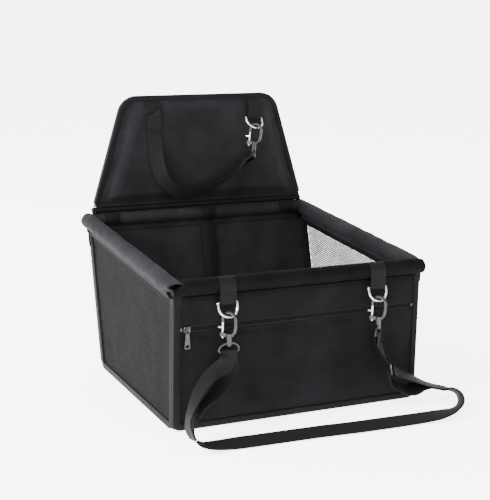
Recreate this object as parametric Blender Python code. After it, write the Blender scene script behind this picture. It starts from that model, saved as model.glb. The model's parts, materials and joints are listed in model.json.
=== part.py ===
"""Folding booster seat for a small dog, made of cloth walls hung on a rim of tubes.

The origin is the middle of the base, on its underside. X runs across the seat, -Y is its front and
Z is up. Lengths are in metres.
"""
import math

import bmesh
import bpy
from mathutils import Matrix, Vector

for leftover in list(bpy.data.objects):
    bpy.data.objects.remove(leftover, do_unlink=True)

# Fits
GAP = 0.0003          # between pieces that touch
OVERRUN = 0.0010      # how far a cutter runs past what it cuts

# Stock that the seat is sewn from
CLOTH = 0.0012
BOARD = 0.0030
NET = 0.0012
WEBBING = 0.0015
WEBBING_WIDTH = 0.0250

# Seat body
SEAT_WIDTH = 0.4000
BASE_DEPTH = 0.3150
RIM_DEPTH = 0.3820          # front face to the axis of the back sleeve
FRONT_RIM_HEIGHT = 0.2085   # floor to the axis of the front sleeve
BACK_RIM_RISE = 0.0230      # back sleeve's axis above the front one's
FOOT_RADIUS = 0.0120        # round lower corners of every wall

# Rim
SLEEVE_RADIUS = 0.0115
SLEEVE_WALL = 0.0017
SLEEVE_TAIL = 0.0080        # two plies below the tube, sewn to the wall between them
SLEEVE_OVERHANG = 0.0060    # side sleeves past the front face and the back sleeve's axis
TUBE_WALL = 0.0020
TUBE_SETBACK = 0.0300       # tube ends inside their sleeves

# Bindings
BINDING_LIP = 0.0100
BINDING_EDGE = 0.0030

# Base and its pad
BASE_CLOTH = 0.0022
BASE_INSET = 0.0010         # base board inside the base cloth
PAD_EDGE = 0.0060
PAD_CROWN = 0.0150
PAD_MARGIN = 0.0070         # pad to the walls
PAD_CORNER = 0.0200

# Side nets
NET_INSET = 0.0062
NET_BORDER = 0.0080
NET_BAR = 0.0060
NET_COLUMNS = 11
NET_ROWS = 7

# Pocket and its zip
ZIP_DROP = 0.0595           # front sleeve's axis to the zip
ZIP_MOUTH = 0.0110          # cloth edge to cloth edge
ZIP_TEETH = 0.0040          # width of the meshed teeth
ZIP_TOOTH_PITCH = 0.0080
ZIP_TOOTH_DEPTH = 0.0009
ZIP_TAPE = 0.0009
ZIP_RISE = 0.0019           # teeth above the wall
ZIP_STOP = 0.0030
POCKET_CROWN = 0.0022
SLIDER_LENGTH = 0.0100
SLIDER_WIDTH = 0.0080
SLIDER_PLATE = 0.0012
SLIDER_START = -0.1800      # slider's place along the zip
BAIL_WIRE = 0.0013
BAIL_SPAN = 0.0064
BAIL_RISE = 0.0030
PULL_LENGTH = 0.0280
PULL_WIDTH = 0.0085
PULL_NECK = 0.0056
PULL_THICKNESS = 0.0014
PULL_HOLE = 0.0050

# D-rings, hooks and the tabs that hold them
TAB_OFFSET = 0.1215         # front tabs from the middle
TAB_DROP = 0.0235           # sleeve axis to the ring's bar
TAB_TOP_ANGLE = 78.0        # where the tab starts on the sleeve, degrees above its front
RING_WIRE = 0.0038
RING_WIDTH = 0.0294         # wire centre to wire centre
RING_DROP = 0.0213          # bar to the bottom of the round side
RING_CORNER = 0.0020
RING_TILT = 20.0            # degrees that a front ring stands off the wall
EYE_WIRE = 0.0036
EYE_WIDTH = 0.0306
EYE_DOME = 0.0095
EYE_DROP = 0.0145           # boss centre to the bar that carries the strap
EYE_CORNER = 0.0035
BOSS_RADIUS = 0.0042
BOSS_UP = 0.0030
BOSS_DOWN = 0.0042
PIN_RADIUS = 0.0018
PIN_HEAD = 0.0030
PIN_HEAD_HEIGHT = 0.0015
BARREL_RADIUS = 0.0045
BARREL_HEIGHT = 0.0090
CLAW_REACH = 0.0098         # centre line of the claw to the swivel axis
CLAW_ARCH = 0.0326          # swivel to the centre of the arch
CLAW_WIRE = 0.0052
CLAW_TIP_WIRE = 0.0044
CLAW_TIP_DROP = 0.0045
CLAW_SEAT = 0.0362          # swivel to the wire of the ring that it hangs on
CLAW_TURN = 44.0            # degrees from the plane across the ring
RIGHT_EYE_TURN = 46.0       # degrees that the right eye has swivelled
BOLT_RADIUS = 0.0015
BOLT_LENGTH = 0.0230
LUG_WIDTH = 0.0060
LUG_HEIGHT = 0.0050
LUG_OUT = 0.0028
KNOB_RADIUS = 0.0021
KNOB_OUT = 0.0040
KNOB_HEIGHT = 0.0205

# Flap behind the seat
FLAP_BASE_HALF = 0.1920
FLAP_TOP_HALF = 0.1380
FLAP_HEIGHT = 0.1870
FLAP_CORNER = 0.0340
FLAP_LEAN = 2.3
FLAP_BEAD = 0.0050
FLAP_BOARD = 0.0020
FLAP_PAD_EDGE = 0.0040
FLAP_PAD_CROWN = 0.0140
FLAP_BINDING_LIP = 0.0095
FLAP_BINDING_START = 0.0120
FLAP_TAB_LEFT = -0.0885
FLAP_TAB_RIGHT = 0.0965
FLAP_TAB_LENGTH = 0.0490    # left tab, below the binding
FLAP_TAB_SWAY = 6.5         # degrees that the strap pulls the right tab and hook aside
FLAP_RING_FALL = 0.0300     # ring's bar below the binding
FLAP_RING_TILT = 38.0
FLAP_EYE_TURN = 75.0
FLAP_WRAP_START = 217.0     # degrees round the eye's bar where the strap meets it

# Webbing down the back wall
BACK_STRAP_PLACE = 0.0120
PATCH_PLACE = 0.1610
PATCH_LOW_ANGLE = -35.0
PATCH_HIGH_ANGLE = 45.0

# Strap adjuster
GLIDE_WIDTH = 0.0310
GLIDE_LENGTH = 0.0200
GLIDE_WIRE = 0.0030
GLIDE_TURN = 68.0           # degrees that it has turned away from the front
GLIDE_LEAN = 12.0
GLIDE_PLACE = Vector((0.1385, -0.1840, 0.0640))

# Worked out from the sizes above
BACK_RIM_HEIGHT = FRONT_RIM_HEIGHT + BACK_RIM_RISE
ZIP_HEIGHT = FRONT_RIM_HEIGHT - ZIP_DROP
FRONT_Y = -BASE_DEPTH / 2
BACK_Y = BASE_DEPTH / 2
FACING = BOARD + GAP + CLOTH
FRONT_AXIS_Y = FRONT_Y + (BOARD - GAP - CLOTH) / 2
BACK_AXIS_Y = FRONT_Y + RIM_DEPTH
SLANT = math.atan2(BACK_AXIS_Y - BACK_Y, BACK_RIM_HEIGHT)
HALF_WIDTH = SEAT_WIDTH / 2
LIP_LOW = GAP + CLOTH + GAP
LIP_HIGH = LIP_LOW + CLOTH
NET_FACE = HALF_WIDTH - GAP - CLOTH
SIDE_AXIS_X = NET_FACE - NET / 2
RIM_END = SIDE_AXIS_X - SLEEVE_RADIUS - GAP
BORE = SLEEVE_RADIUS - SLEEVE_WALL
TUBE_RADIUS = BORE - GAP
TAIL_END = SLEEVE_RADIUS + SLEEVE_TAIL
FOLD = RING_WIRE / 2 + GAP + WEBBING / 2
EYE_FOLD = EYE_WIRE / 2 + GAP + WEBBING / 2
STRAP_LAYER = WEBBING + GAP
SPANS = 3

# Places along the adjustable strap: middle of the webbing, then the way its outer face looks.
# The outer layer runs from the front of the left eye to the adjuster; the inner layer lies on it
# between its own two free ends.
OUTER_LEFT_ROUTE = [
    ((-0.1220, -0.1786, 0.1065), (-0.03, -0.99, 0.03)),
    ((-0.1310, -0.1806, 0.0970), (-0.20, -0.86, 0.47)),
    ((-0.1490, -0.1832, 0.0893), (-0.43, -0.42, 0.80)),
    ((-0.1635, -0.1885, 0.0795), (-0.51, -0.27, 0.81)),
    ((-0.1770, -0.1960, 0.0670), (-0.69, -0.14, 0.71)),
    ((-0.1890, -0.2050, 0.0520), (-0.86, 0.01, 0.50)),
    ((-0.1985, -0.2145, 0.0390), (-0.95, 0.10, 0.29)),
    ((-0.2025, -0.2220, 0.0300), (-0.99, 0.08, 0.06)),
    ((-0.2010, -0.2310, 0.0207), (-0.93, -0.08, -0.34)),
    ((-0.1955, -0.2370, 0.0130), (-0.62, 0.00, -0.78)),
]
SHARED_ROUTE = [
    ((-0.1860, -0.2410, 0.0080), (-0.33, -0.05, -0.94)),
    ((-0.1650, -0.2420, 0.0056), (-0.08, 0.12, -0.98)),
    ((-0.1340, -0.2420, 0.0046), (0.00, 0.26, -0.97)),
    ((-0.0700, -0.2440, 0.0046), (0.00, 0.26, -0.97)),
    ((-0.0100, -0.2460, 0.0046), (0.00, 0.26, -0.97)),
    ((0.0500, -0.2500, 0.0046), (0.00, 0.26, -0.97)),
    ((0.1100, -0.2520, 0.0046), (0.00, 0.26, -0.97)),
    ((0.1500, -0.2535, 0.0050), (0.02, 0.22, -0.97)),
    ((0.1780, -0.2560, 0.0066), (0.05, 0.14, -0.98)),
    ((0.2000, -0.2550, 0.0090), (0.08, -0.12, -0.99)),
    ((0.2190, -0.2475, 0.0115), (0.32, -0.46, -0.83)),
    ((0.2355, -0.2300, 0.0125), (0.78, -0.52, -0.35)),
    ((0.2490, -0.2050, 0.0128), (0.84, -0.28, 0.46)),
    ((0.2530, -0.1860, 0.0128), (0.42, 0.04, 0.91)),
    ((0.2455, -0.1745, 0.0140), (0.20, 0.00, 0.98)),
    ((0.2290, -0.1722, 0.0188), (0.25, -0.02, 0.96)),
    ((0.2125, -0.1740, 0.0250), (0.28, -0.15, 0.95)),
]
OUTER_RIGHT_ROUTE = [
    ((0.1970, -0.1765, 0.0325), (0.28, -0.25, 0.93)),
    ((0.1830, -0.1790, 0.0395), (0.35, -0.30, 0.89)),
    ((0.1690, -0.1810, 0.0460), (0.48, -0.32, 0.82)),
    ((0.1580, -0.1835, 0.0520), (0.68, -0.33, 0.65)),
]
INNER_LEFT_ROUTE = [
    ((-0.1212, -0.1709, 0.1060), (0.00, -1.00, 0.00)),
    ((-0.1180, -0.1722, 0.0960), (-0.05, -1.00, 0.05)),
    ((-0.1210, -0.1765, 0.0860), (-0.23, -0.94, 0.24)),
    ((-0.1340, -0.1835, 0.0725), (-0.47, -0.58, 0.67)),
    ((-0.1510, -0.1920, 0.0607), (-0.42, -0.19, 0.88)),
    ((-0.1670, -0.2005, 0.0528), (-0.48, -0.02, 0.88)),
    ((-0.1800, -0.2090, 0.0450), (-0.66, 0.14, 0.74)),
    ((-0.1895, -0.2175, 0.0360), (-0.86, 0.15, 0.48)),
    ((-0.1942, -0.2255, 0.0262), (-0.98, 0.06, 0.03)),
    ((-0.1912, -0.2330, 0.0168), (-0.78, 0.02, -0.62)),
]
INNER_RIGHT_ROUTE = [
    ((0.1975, -0.1785, 0.0252), (0.25, -0.30, 0.92)),
    ((0.1830, -0.1810, 0.0215), (0.15, -0.40, 0.90)),
    ((0.1690, -0.1825, 0.0240), (0.35, -0.45, 0.82)),
    ((0.1545, -0.1845, 0.0315), (0.70, -0.35, 0.62)),
]
# Strap on the flap, in the flap's own frame
FLAP_ROUTE = [
    ((-0.0880, -0.0182, 0.1460), (0.00, -1.00, 0.00)),
    ((-0.0875, -0.0182, 0.1280), (0.00, -1.00, 0.00)),
    ((-0.0870, -0.0195, 0.1060), (-0.10, -1.00, 0.00)),
    ((-0.0855, -0.0225, 0.0810), (-0.30, -1.00, 0.00)),
    ((-0.0795, -0.0250, 0.0560), (-0.65, -0.85, -0.10)),
    ((-0.0640, -0.0265, 0.0350), (-0.45, -0.85, -0.40)),
    ((-0.0420, -0.0272, 0.0245), (-0.10, -0.85, -0.50)),
    ((-0.0170, -0.0278, 0.0235), (0.15, -0.80, -0.60)),
    ((0.0120, -0.0284, 0.0310), (0.35, -0.70, -0.65)),
    ((0.0380, -0.0305, 0.0450), (0.50, -0.55, -0.68)),
    ((0.0590, -0.0330, 0.0590), (0.55, -0.42, -0.72)),
]


class Plane:
    """A wall's own axes: u along it, v up it and n out of it."""

    def __init__(self, origin, u, v, n):
        self.origin = Vector(origin)
        self.u = Vector(u).normalized()
        self.v = Vector(v).normalized()
        self.n = Vector(n).normalized()

    def at(self, u, v, n=0.0):
        return self.origin + self.u * u + self.v * v + self.n * n


def finish(name, colour, roughness, metallic=0.0):
    material = bpy.data.materials.new(name)
    material.use_nodes = True
    shader = material.node_tree.nodes["Principled BSDF"]
    shader.inputs["Base Color"].default_value = (*colour, 1.0)
    shader.inputs["Roughness"].default_value = roughness
    shader.inputs["Metallic"].default_value = metallic
    return material


OXFORD = finish("black oxford cloth", (0.018, 0.018, 0.020), 0.75)
LINING = finish("black lining", (0.014, 0.014, 0.015), 0.85)
TAPE = finish("black binding tape", (0.026, 0.026, 0.028), 0.80)
STRAPPING = finish("black webbing", (0.040, 0.040, 0.042), 0.70)
NETTING = finish("dark grey netting", (0.070, 0.070, 0.075), 0.80)
PLASTIC = finish("white plastic tube", (0.700, 0.700, 0.680), 0.45)
STIFFENER = finish("grey plastic board", (0.200, 0.200, 0.200), 0.60)
NICKEL = finish("polished nickel", (0.620, 0.620, 0.620), 0.22, 1.0)
GUNMETAL = finish("dark nickel", (0.180, 0.180, 0.185), 0.35, 1.0)
COIL = finish("black zip coil", (0.020, 0.020, 0.022), 0.45)


def add(name, vertices, faces, material, parent=None):
    """One closed piece, its faces turned outwards and its round sides smooth."""
    mesh = bpy.data.meshes.new(name)
    shape = bmesh.new()
    corners = [shape.verts.new(vertex) for vertex in vertices]
    for face in faces:
        shape.faces.new([corners[index] for index in face])
    bmesh.ops.recalc_face_normals(shape, faces=shape.faces)
    shape.to_mesh(mesh)
    shape.free()
    mesh.shade_smooth()
    mesh.set_sharp_from_angle(angle=math.radians(35))
    mesh.materials.append(material)
    piece = bpy.data.objects.new(name, mesh)
    bpy.context.collection.objects.link(piece)
    piece.parent = parent
    return piece


def pivot(name, place, turn=(0.0, 0.0, 0.0), parent=None):
    """An empty on a joint's axis, turned in degrees."""
    marker = bpy.data.objects.new(name, None)
    marker.location = place
    marker.rotation_euler = [math.radians(angle) for angle in turn]
    marker.parent = parent
    bpy.context.collection.objects.link(marker)
    return marker


def combine(piece, tool, operation):
    """Add the tool to the piece or cut it away; the tool itself isn't part of the seat."""
    modifier = piece.modifiers.new(operation.lower(), "BOOLEAN")
    modifier.operation = operation
    modifier.object = tool
    tool.hide_render = True
    tool.display_type = "WIRE"


def loft(name, sections, material, parent=None, closed=False):
    """A skin through sections of equal count, capped unless it closes on itself."""
    count = len(sections[0])
    vertices = [point for section in sections for point in section]
    faces = []
    spans = len(sections) if closed else len(sections) - 1
    for row in range(spans):
        here = row * count
        there = (row + 1) % len(sections) * count
        for side in range(count):
            after = (side + 1) % count
            faces.append((here + side, here + after, there + after, there + side))
    if not closed:
        faces.append(tuple(range(count)))
        faces.append(tuple(range((len(sections) - 1) * count, len(sections) * count)))
    return add(name, vertices, faces, material, parent)


def prism(name, plane, outline, low, high, material, parent=None):
    """A flat outline in the plane, raised from low to high along its normal."""
    sections = [[plane.at(u, v, level) for u, v in outline] for level in (low, high)]
    return loft(name, sections, material, parent)


def block(name, plane, u_range, v_range, n_range, material, parent=None):
    outline = [(u_range[0], v_range[0]), (u_range[1], v_range[0]), (u_range[1], v_range[1]),
               (u_range[0], v_range[1])]
    return prism(name, plane, outline, n_range[0], n_range[1], material, parent)


def rounded(corners, steps=5):
    """Points of an outline whose corners (u, v, radius) are turned as arcs."""
    points = []
    total = len(corners)
    for index, (u, v, radius) in enumerate(corners):
        here = Vector((u, v))
        if radius <= 0:
            points.append((u, v))
            continue
        back = (Vector(corners[index - 1][:2]) - here).normalized()
        ahead = (Vector(corners[(index + 1) % total][:2]) - here).normalized()
        half = back.angle(ahead) / 2
        centre = here + (back + ahead).normalized() * (radius / math.sin(half))
        start = here + back * (radius / math.tan(half)) - centre
        sweep = start.angle_signed(here + ahead * (radius / math.tan(half)) - centre)
        for step in range(steps + 1):
            turned = start.copy()
            turned.rotate(Matrix.Rotation(-sweep * step / steps, 2))
            points.append(tuple(centre + turned))
    return points


def arc(centre, radius, start, end, steps):
    """Points on a circle from one angle to another, in degrees."""
    angles = [math.radians(start + (end - start) * step / steps) for step in range(steps + 1)]
    return [(centre[0] + radius * math.cos(angle), centre[1] + radius * math.sin(angle))
            for angle in angles]


def inward(path, index, closed=False):
    """Mitred normal to the left of a path at one of its points."""
    here = Vector(path[index])
    total = len(path)
    before = Vector(path[index - 1]) if index > 0 or closed else None
    after = Vector(path[(index + 1) % total]) if index < total - 1 or closed else None
    runs = []
    if before is not None:
        runs.append((here - before).normalized())
    if after is not None:
        runs.append((after - here).normalized())
    tangent = sum(runs, Vector((0.0, 0.0))).normalized()
    return Vector((-tangent.y, tangent.x)) / tangent.dot(runs[0])


def sweep(name, plane, path, profile, material, parent=None):
    """A profile (in from the path, out of the plane) carried along a flat path."""
    sections = []
    for index, point in enumerate(path):
        side = inward(path, index)
        sections.append([plane.at(point[0] + side.x * a, point[1] + side.y * a, b) for a, b in profile])
    return loft(name, sections, material, parent)


def wire(name, plane, path, radii, material, parent=None, closed=False, sides=8):
    """A round bar along a flat path, its radius given for the whole path or for each point."""
    if isinstance(radii, float):
        radii = [radii] * len(path)
    sections = []
    for index, point in enumerate(path):
        side = inward(path, index, closed)
        ring = []
        for step in range(sides):
            angle = 2 * math.pi * (step + 0.5) / sides
            reach = radii[index] * math.cos(angle)
            ring.append(plane.at(point[0] + side.x * reach, point[1] + side.y * reach,
                                 radii[index] * math.sin(angle)))
        sections.append(ring)
    return loft(name, sections, material, parent, closed)


def cylinder(name, start, end, radius, material, parent=None, sides=16):
    """A solid round bar between two points."""
    axis = (Vector(end) - Vector(start)).normalized()
    across = axis.orthogonal().normalized()
    other = axis.cross(across)
    sections = []
    for place in (Vector(start), Vector(end)):
        ring = []
        for step in range(sides):
            angle = 2 * math.pi * (step + 0.5) / sides
            ring.append(place + (across * math.cos(angle) + other * math.sin(angle)) * radius)
        sections.append(ring)
    return loft(name, sections, material, parent)


def hollow(start, end, up, outer, inner):
    """A tube between two points: outer and inner outlines of equal count, open at both ends."""
    axis = (Vector(end) - Vector(start)).normalized()
    rise = (Vector(up) - axis * Vector(up).dot(axis)).normalized()
    across = axis.cross(rise)
    vertices = []
    for place in (Vector(start), Vector(end)):
        for outline in (outer, inner):
            vertices += [place + across * a + rise * b for a, b in outline]
    count = len(outer)
    faces = []
    for step in range(count):
        after = (step + 1) % count
        faces.append((step, after, 2 * count + after, 2 * count + step))
        faces.append((count + step, count + after, 3 * count + after, 3 * count + step))
        faces.append((step, after, count + after, count + step))
        faces.append((2 * count + step, 2 * count + after, 3 * count + after, 3 * count + step))
    return vertices, faces


def pipe(name, start, end, up, radius, bore, material, sides=16):
    angles = [2 * math.pi * (step + 0.5) / sides for step in range(sides)]
    outer = [(radius * math.cos(angle), radius * math.sin(angle)) for angle in angles]
    inner = [(bore * math.cos(angle), bore * math.sin(angle)) for angle in angles]
    vertices, faces = hollow(start, end, up, outer, inner)
    return add(name, vertices, faces, material)


def sleeve(name, start, end, up, wall, material, sides=18):
    """A cloth tube with a two-ply tail that takes a wall of the given thickness between its plies."""
    slot = math.asin((wall / 2 + GAP) / SLEEVE_RADIUS)
    ply = math.asin((wall / 2 + GAP + CLOTH) / SLEEVE_RADIUS)
    low = -math.pi / 2
    open_arc = 2 * (math.pi - ply)
    angles = [low - ply, low - slot, low + slot]
    angles += [low + ply + open_arc * step / sides for step in range(sides)]
    outer = [(SLEEVE_RADIUS * math.cos(angle), SLEEVE_RADIUS * math.sin(angle)) for angle in angles]
    inner = [(BORE * math.cos(angle), BORE * math.sin(angle)) for angle in angles]
    vertices, faces = hollow(start, end, up, outer, inner)
    count = len(angles)
    axis = (Vector(end) - Vector(start)).normalized()
    rise = (Vector(up) - axis * Vector(up).dot(axis)).normalized()
    across = axis.cross(rise)
    for first in (0, 2):
        last = first + 1
        faces.remove((first, last, 2 * count + last, 2 * count + first))
        base = len(vertices)
        for place in (Vector(start), Vector(end)):
            for corner in (first, last):
                vertices.append(place + across * outer[corner][0] - rise * TAIL_END)
        faces.append((first, last, base + 1, base))
        faces.append((2 * count + first, 2 * count + last, base + 3, base + 2))
        faces.append((first, base, base + 2, 2 * count + first))
        faces.append((last, base + 1, base + 3, 2 * count + last))
        faces.append((base, base + 1, base + 3, base + 2))
    return add(name, vertices, faces, material)


def smooth(route, spans=4):
    """Centres and faces on a smooth curve through the route's own points."""
    middles = [Vector(place) for place, _ in route]
    looks = [Vector(look).normalized() for _, look in route]
    out = []
    last = len(route) - 1
    for index in range(last):
        points = [middles[max(index - 1, 0)], middles[index], middles[index + 1],
                  middles[min(index + 2, last)]]
        for step in range(spans):
            t = step / spans
            a, b, c, d = points
            place = (2 * b + (c - a) * t + (2 * a - 5 * b + 4 * c - d) * t ** 2
                     + (3 * b - a - 3 * c + d) * t ** 3) / 2
            out.append((place, looks[index].lerp(looks[index + 1], t)))
    out.append((middles[last], looks[last]))
    return out


def across(line, index):
    """Directions across the webbing and out of its face at one of its places."""
    before = line[max(index - 1, 0)][0]
    after = line[min(index + 1, len(line) - 1)][0]
    along = (after - before).normalized()
    look = line[index][1]
    face = (look - along * look.dot(along)).normalized()
    return along.cross(face), face


def stations(line):
    """The same line, with the webbing's sideways direction and its face at each place."""
    return [(place, *across(line, index)) for index, (place, _) in enumerate(line)]


def ribbon(name, line, material, parent=None):
    """Webbing along stations that each give its middle, its sideways direction and its face."""
    vertices = []
    for place, side, face in line:
        half = side * WEBBING_WIDTH / 2
        thick = face * WEBBING / 2
        vertices += [place + half + thick, place + half - thick, place - half - thick, place - half + thick]
    faces = [(0, 1, 2, 3), tuple(range(len(vertices) - 4, len(vertices)))]
    for here in range(0, len(vertices) - 4, 4):
        there = here + 4
        faces += [(here, here + 1, there + 1, there), (here + 2, here + 3, there + 3, there + 2),
                  (here + 1, here + 2, there + 2), (here + 1, there + 2, there + 1),
                  (here + 3, here, there + 3), (here, there, there + 3)]
    return add(name, vertices, faces, material, parent)


def laid(line):
    """The same stations, raised where the webbing's lower edge would reach below the floor."""
    raised = []
    for place, side, face in line:
        need = abs(side.z) * WEBBING_WIDTH / 2 + abs(face.z) * WEBBING / 2 + GAP
        raised.append((Vector((place.x, place.y, max(place.z, need))), side, face))
    return raised


def layer_on(line):
    """The same stations, one layer of webbing further in."""
    return [(place - face * STRAP_LAYER, side, face) for place, side, face in line]


def length_of(line):
    return sum((line[index + 1][0] - line[index][0]).length for index in range(len(line) - 1))


def folded(name, plane, middle, path, material, parent=None):
    """Webbing bent along a flat path: the plane's u and v hold the path, its normal the width."""
    profile = [(-WEBBING / 2, middle - WEBBING_WIDTH / 2), (WEBBING / 2, middle - WEBBING_WIDTH / 2),
               (WEBBING / 2, middle + WEBBING_WIDTH / 2), (-WEBBING / 2, middle + WEBBING_WIDTH / 2)]
    return sweep(name, plane, path, profile, material, parent)


def cushion(name, plane, outline, base, edge, crown, flat_share, material, parent=None):
    """A pad on a flat base: a low edge, then drawn in and rising to its crown."""
    spread = [[point[axis] for point in outline] for axis in (0, 1)]
    centre = Vector([(min(values) + max(values)) / 2 for values in spread])
    ring_shares = (1.0, 0.97, 0.92, 0.84, 0.70, 0.50, 0.25)
    levels = [(1.0, base), (1.0, base + edge)]
    for share in ring_shares:
        rise = (crown - edge) * math.sqrt(1 - share ** 4)
        levels.append((flat_share * share, base + edge + rise))
    vertices = []
    for share, level in levels:
        vertices += [plane.at(*(centre + (Vector(point) - centre) * share), level) for point in outline]
    vertices.append(plane.at(*centre, base + crown))
    count = len(outline)
    faces = [tuple(range(count))]
    for row in range(len(levels) - 1):
        for side in range(count):
            after = (side + 1) % count
            here = row * count
            faces.append((here + side, here + after, here + count + after, here + count + side))
    top = (len(levels) - 1) * count
    for side in range(count):
        faces.append((top + side, top + (side + 1) % count, len(vertices) - 1))
    return add(name, vertices, faces, material, parent)


def net(name, plane, corners, low, high, material):
    """A four-sided net: corners run bottom front, bottom back, top back, top front."""
    front_low, back_low, back_high, front_high = [Vector(corner) for corner in corners]
    width = ((back_low - front_low).length + (back_high - front_high).length) / 2
    height = ((front_high - front_low).length + (back_high - back_low).length) / 2

    def lines(length, cells):
        hole = (length - 2 * NET_BORDER - (cells - 1) * NET_BAR) / cells
        marks = [0.0]
        for cell in range(cells):
            start = NET_BORDER + cell * (hole + NET_BAR)
            marks += [start, start + hole]
        return [mark / length for mark in marks] + [1.0]

    across = lines(width, NET_COLUMNS)
    up = lines(height, NET_ROWS)
    vertices = []
    for level in (low, high):
        for v in up:
            for u in across:
                point = front_low.lerp(back_low, u).lerp(front_high.lerp(back_high, u), v)
                vertices.append(plane.at(point.x, point.y, level))
    row_length = len(across)
    layer = row_length * len(up)
    filled = set()
    for row in range(len(up) - 1):
        for column in range(row_length - 1):
            if not (row % 2 and column % 2):
                filled.add((row, column))
    faces = []
    for row, column in sorted(filled):
        a = row * row_length + column
        b, c, d = a + 1, a + 1 + row_length, a + row_length
        faces.append((a, b, c, d))
        faces.append((a + layer, b + layer, c + layer, d + layer))
        edges = {(row - 1, column): (a, b), (row, column + 1): (b, c), (row + 1, column): (c, d),
                 (row, column - 1): (d, a)}
        for neighbour, (p, q) in edges.items():
            if neighbour not in filled:
                faces.append((p, q, q + layer, p + layer))
    return add(name, vertices, faces, material)


FLOOR = Plane((0, 0, 0), (1, 0, 0), (0, 1, 0), (0, 0, 1))
FRONT = Plane((0, FRONT_Y, 0), (1, 0, 0), (0, 0, 1), (0, -1, 0))
BACK = Plane((0, BACK_Y, 0), (1, 0, 0), (0, math.sin(SLANT), math.cos(SLANT)),
             (0, math.cos(SLANT), -math.sin(SLANT)))
SIDES = {
    "left": Plane((-NET_FACE, 0, 0), (0, 1, 0), (0, 0, 1), (-1, 0, 0)),
    "right": Plane((NET_FACE, 0, 0), (0, 1, 0), (0, 0, 1), (1, 0, 0)),
}
BACK_FOOT = LIP_HIGH * math.tan(SLANT) + GAP
BACK_TOP = BACK_RIM_HEIGHT / math.cos(SLANT)
RIM_SLOPE = (BACK_RIM_HEIGHT - FRONT_RIM_HEIGHT) / (BACK_AXIS_Y - FRONT_AXIS_Y)


def wall_path(half, foot, top):
    """A wall's edge: down one side, along the floor and up the other, with round feet."""
    corners = [(half, top, 0), (half, foot, FOOT_RADIUS), (-half, foot, FOOT_RADIUS), (-half, top, 0)]
    return rounded(corners)[::-1]


def edge_profile(depth):
    """Binding: a bar beside the wall's edge and a lip over its face."""
    return [(0, -depth), (BINDING_EDGE, -depth), (BINDING_EDGE, LIP_LOW), (BINDING_LIP, LIP_LOW),
            (BINDING_LIP, LIP_HIGH), (CLOTH, LIP_HIGH), (0, LIP_LOW)]


def wall_outline(half, foot, top, inset, shoulder=None):
    """A wall inside its binding; above its shoulders it is cut back to clear the side sleeves."""
    side = half - inset
    corners = [(-side, foot + inset, FOOT_RADIUS - inset), (side, foot + inset, FOOT_RADIUS - inset)]
    if shoulder is None:
        corners += [(side, top, 0), (-side, top, 0)]
    else:
        corners += [(side, shoulder, 0), (RIM_END, shoulder, 0), (RIM_END, top, 0), (-RIM_END, top, 0),
                    (-RIM_END, shoulder, 0), (-side, shoulder, 0)]
    return rounded(corners)


def under_rim(y, drop):
    """Height at y of the line that runs a given drop below the side sleeves' axes."""
    return FRONT_RIM_HEIGHT + (y - FRONT_AXIS_Y) * RIM_SLOPE - drop / math.cos(math.atan(RIM_SLOPE))


def on_slant(drop, inset):
    """Where that line meets the back wall's inner face, moved in by the inset, as (y, z)."""
    foot = BACK_Y - (BOARD + GAP + inset) / math.cos(SLANT)
    lean = math.tan(SLANT)
    y = (foot + lean * (under_rim(0, drop))) / (1 - lean * RIM_SLOPE)
    return y, under_rim(y, drop)


def front_wall():
    inset = BINDING_EDGE + GAP
    top = FRONT_RIM_HEIGHT - SLEEVE_RADIUS - GAP
    shoulder = under_rim(FRONT_Y - LIP_HIGH, TAIL_END + GAP)
    prism("front_panel", FRONT, wall_outline(HALF_WIDTH, GAP, top, inset, shoulder), -BOARD, 0, LINING)
    sweep("front_binding", FRONT, wall_path(HALF_WIDTH, GAP, shoulder), edge_profile(BOARD), TAPE)
    side = HALF_WIDTH - inset
    mouth = ZIP_HEIGHT + ZIP_MOUTH / 2
    upper = [(-side, mouth), (side, mouth), (side, shoulder), (RIM_END, shoulder), (RIM_END, top),
             (-RIM_END, top),
             (-RIM_END, shoulder), (-side, shoulder)]
    prism("front_upper_cloth", FRONT, upper, GAP, GAP + CLOTH, OXFORD)
    pocket = wall_outline(HALF_WIDTH, GAP, ZIP_HEIGHT - ZIP_MOUTH / 2, inset)
    cushion("pocket_panel", FRONT, pocket, GAP, CLOTH, CLOTH + POCKET_CROWN, 0.90, OXFORD)


def back_wall():
    inset = BINDING_EDGE + GAP
    top = BACK_TOP - SLEEVE_RADIUS - GAP
    shoulder = (on_slant(TAIL_END + GAP, 0)[1] - BOARD * math.sin(SLANT)) / math.cos(SLANT)
    prism("back_panel", BACK, wall_outline(HALF_WIDTH, BACK_FOOT, top, inset, shoulder), -BOARD, 0, OXFORD)
    sweep("back_binding", BACK, wall_path(HALF_WIDTH, BACK_FOOT, shoulder), edge_profile(BOARD), TAPE)


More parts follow.
